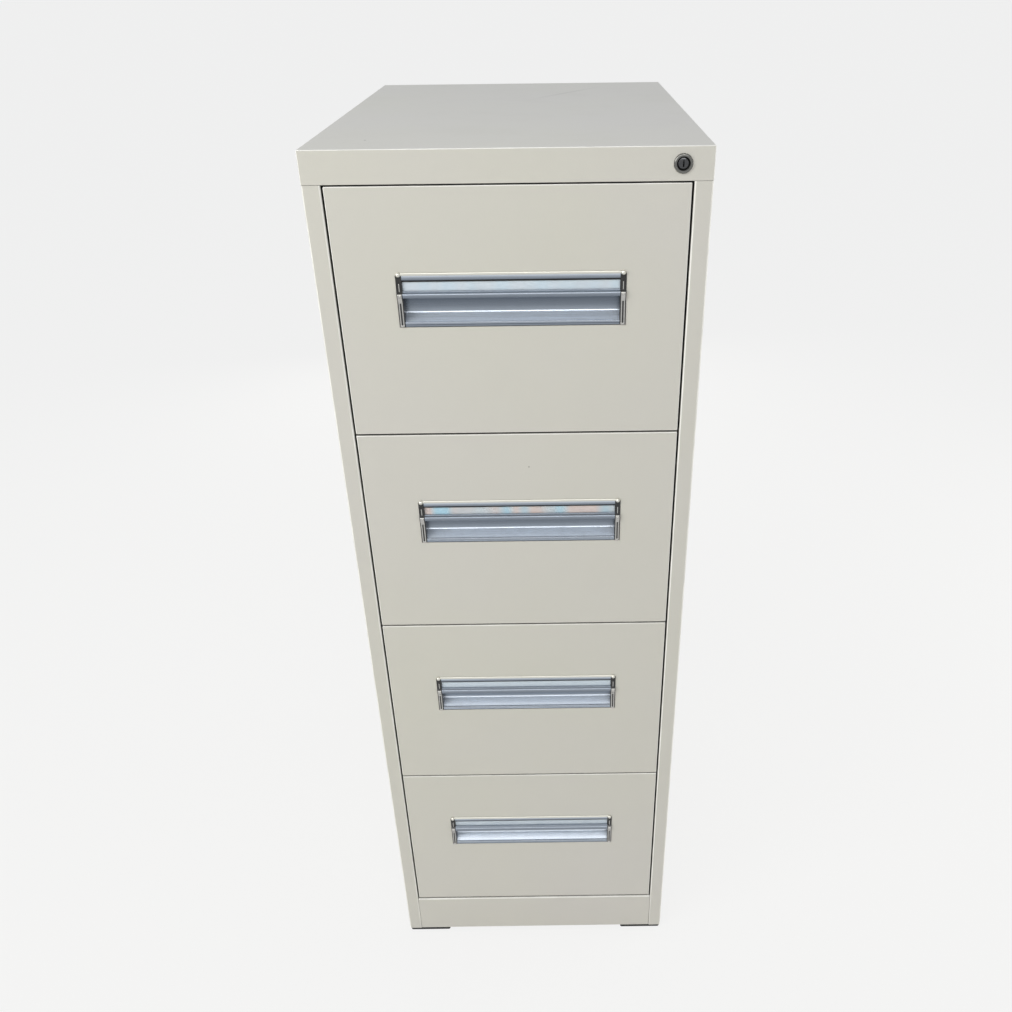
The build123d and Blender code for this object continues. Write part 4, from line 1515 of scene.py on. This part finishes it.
@dataclass
class Studio:
    """Floor, lights and camera."""

    backdrop: Colour = rgb(242, 242, 242)
    bounce: Colour = rgb(245, 242, 231)
    level_light: Colour = (1.0, 0.99, 0.965)
    high_light: Colour = (0.59, 0.66, 0.78)
    daylight: float = 0.67
    glow: Colour = (0.912, 0.912, 0.912)
    floor_share: float = 0.1
    floor_size: float = 160.0
    lamps: tuple[Lamp, ...] = (
        Lamp("front_strip", (-0.2, -2.2, 3.0), (0, -0.3, 0.8), (3.2, 0.8), 28.5),
        Lamp("left_softbox", (-2.0, -1.6, 2.1), (0, -0.1, 0.9), (1.2, 1.2), 27.0),
        Lamp("right_fill", (2.4, 0.5, 0.9), (0.2, 0.1, 0.65), (1.4, 0.8), 17.0),
        Lamp("back_fill", (-0.3, 2.6, 0.9), (0, 0.3, 0.65), (1.6, 0.8), 17.0),
    )
    sensor: float = 36.0
    lens: float = 32.80
    shift: Point = (-0.0533, 0.0132)
    eye: Place = (0.04966, -1.35585, 1.49403)
    eye_right: Place = (0.99991184, -0.00902169, -0.00974275)
    eye_down: Place = (-0.01299957, -0.51557668, -0.85674483)
    eye_forward: Place = (0.00270615, 0.85679595, -0.51564851)

    def build(self) -> None:
        """Build the whole studio."""
        self.world()
        self.floor()
        for lamp in self.lamps:
            lamp.build()
        self.camera()

    @staticmethod
    def seen_share(graph: Graph) -> Socket:
        """Tell the rays that see from those that light.

        Args:
            graph: Graph of a material or of the world.

        Returns:
            1 for rays of the camera, of mirrors and through clear things, otherwise 0.
        """
        path = graph.add("LightPath").outputs
        glossy = graph.math("MAXIMUM", path["Is Camera Ray"], path["Is Glossy Ray"])
        return graph.math("MAXIMUM", glossy, path["Is Transmission Ray"])

    def world(self) -> None:
        """Even pale light, with the backdrop's colour where it is seen."""
        world = bpy.data.worlds.new("pale_room")
        bpy.context.scene.world = world
        world.use_nodes = True
        graph = Graph(world.node_tree)
        height = graph.height(graph.add("TexCoord").outputs["Generated"])
        sky = graph.layered(self.level_light, (graph.span(height, 0.1, 0.9), self.high_light))
        lit = graph.add("Background", {"Color": sky, "Strength": self.daylight})
        seen = graph.add("Background", {"Color": self.backdrop})
        graph.seen_or_lit("OutputWorld", self.seen_share(graph), lit, seen)

    def floor(self) -> None:
        """Pale floor that keeps the object's shadow."""
        bm = bmesh.new()
        bmesh.ops.create_grid(bm, x_segments=1, y_segments=1, size=self.floor_size / 2)
        mesh = bpy.data.meshes.new("floor")
        bm.to_mesh(mesh)
        bm.free()
        floor = bpy.data.objects.new("floor", mesh)
        bpy.context.scene.collection.objects.link(floor)
        material = bpy.data.materials.new("pale_floor")
        material.use_nodes = True
        graph = Graph(material.node_tree)
        matt = graph.add("BsdfDiffuse", {"Color": self.bounce})
        glow = graph.add("Emission", {"Color": self.glow})
        share = graph.times(self.seen_share(graph), 1.0 - self.floor_share)
        graph.seen_or_lit("OutputMaterial", share, matt, glow)
        mesh.materials.append(material)

    def camera(self) -> None:
        """Camera at the photograph's place."""
        data = bpy.data.cameras.new("camera")
        data.sensor_width = self.sensor
        data.lens = self.lens
        data.shift_x, data.shift_y = self.shift
        camera = bpy.data.objects.new("camera", data)
        axes = (Vector(self.eye_right), -Vector(self.eye_down), -Vector(self.eye_forward))
        turn = Matrix(axes).transposed()
        camera.matrix_world = Matrix.Translation(self.eye) @ turn.to_4x4()
        bpy.context.scene.collection.objects.link(camera)
        bpy.context.scene.camera = camera


def main() -> None:
    """Build the studio, the finishes and the cabinet."""
    logging.basicConfig(level=logging.INFO, format="%(name)s: %(message)s")
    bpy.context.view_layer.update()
    scene = bpy.context.scene
    scene.view_settings.view_transform = "Standard"
    Studio().build()
    palette = Palette()
    Piece.palette = palette
    palette.dress_nodes(frame["nodes"], frame["record"]["subparts"])
    Case().build()
    Lock().build()
    drawers = [name for name in frame["bodies"] if name.startswith("drawer") and name[-1].isdigit()]
    for number in range(1, len(drawers) + 1):
        Drawer(number).build()


if __name__ == "__main__":
    main()
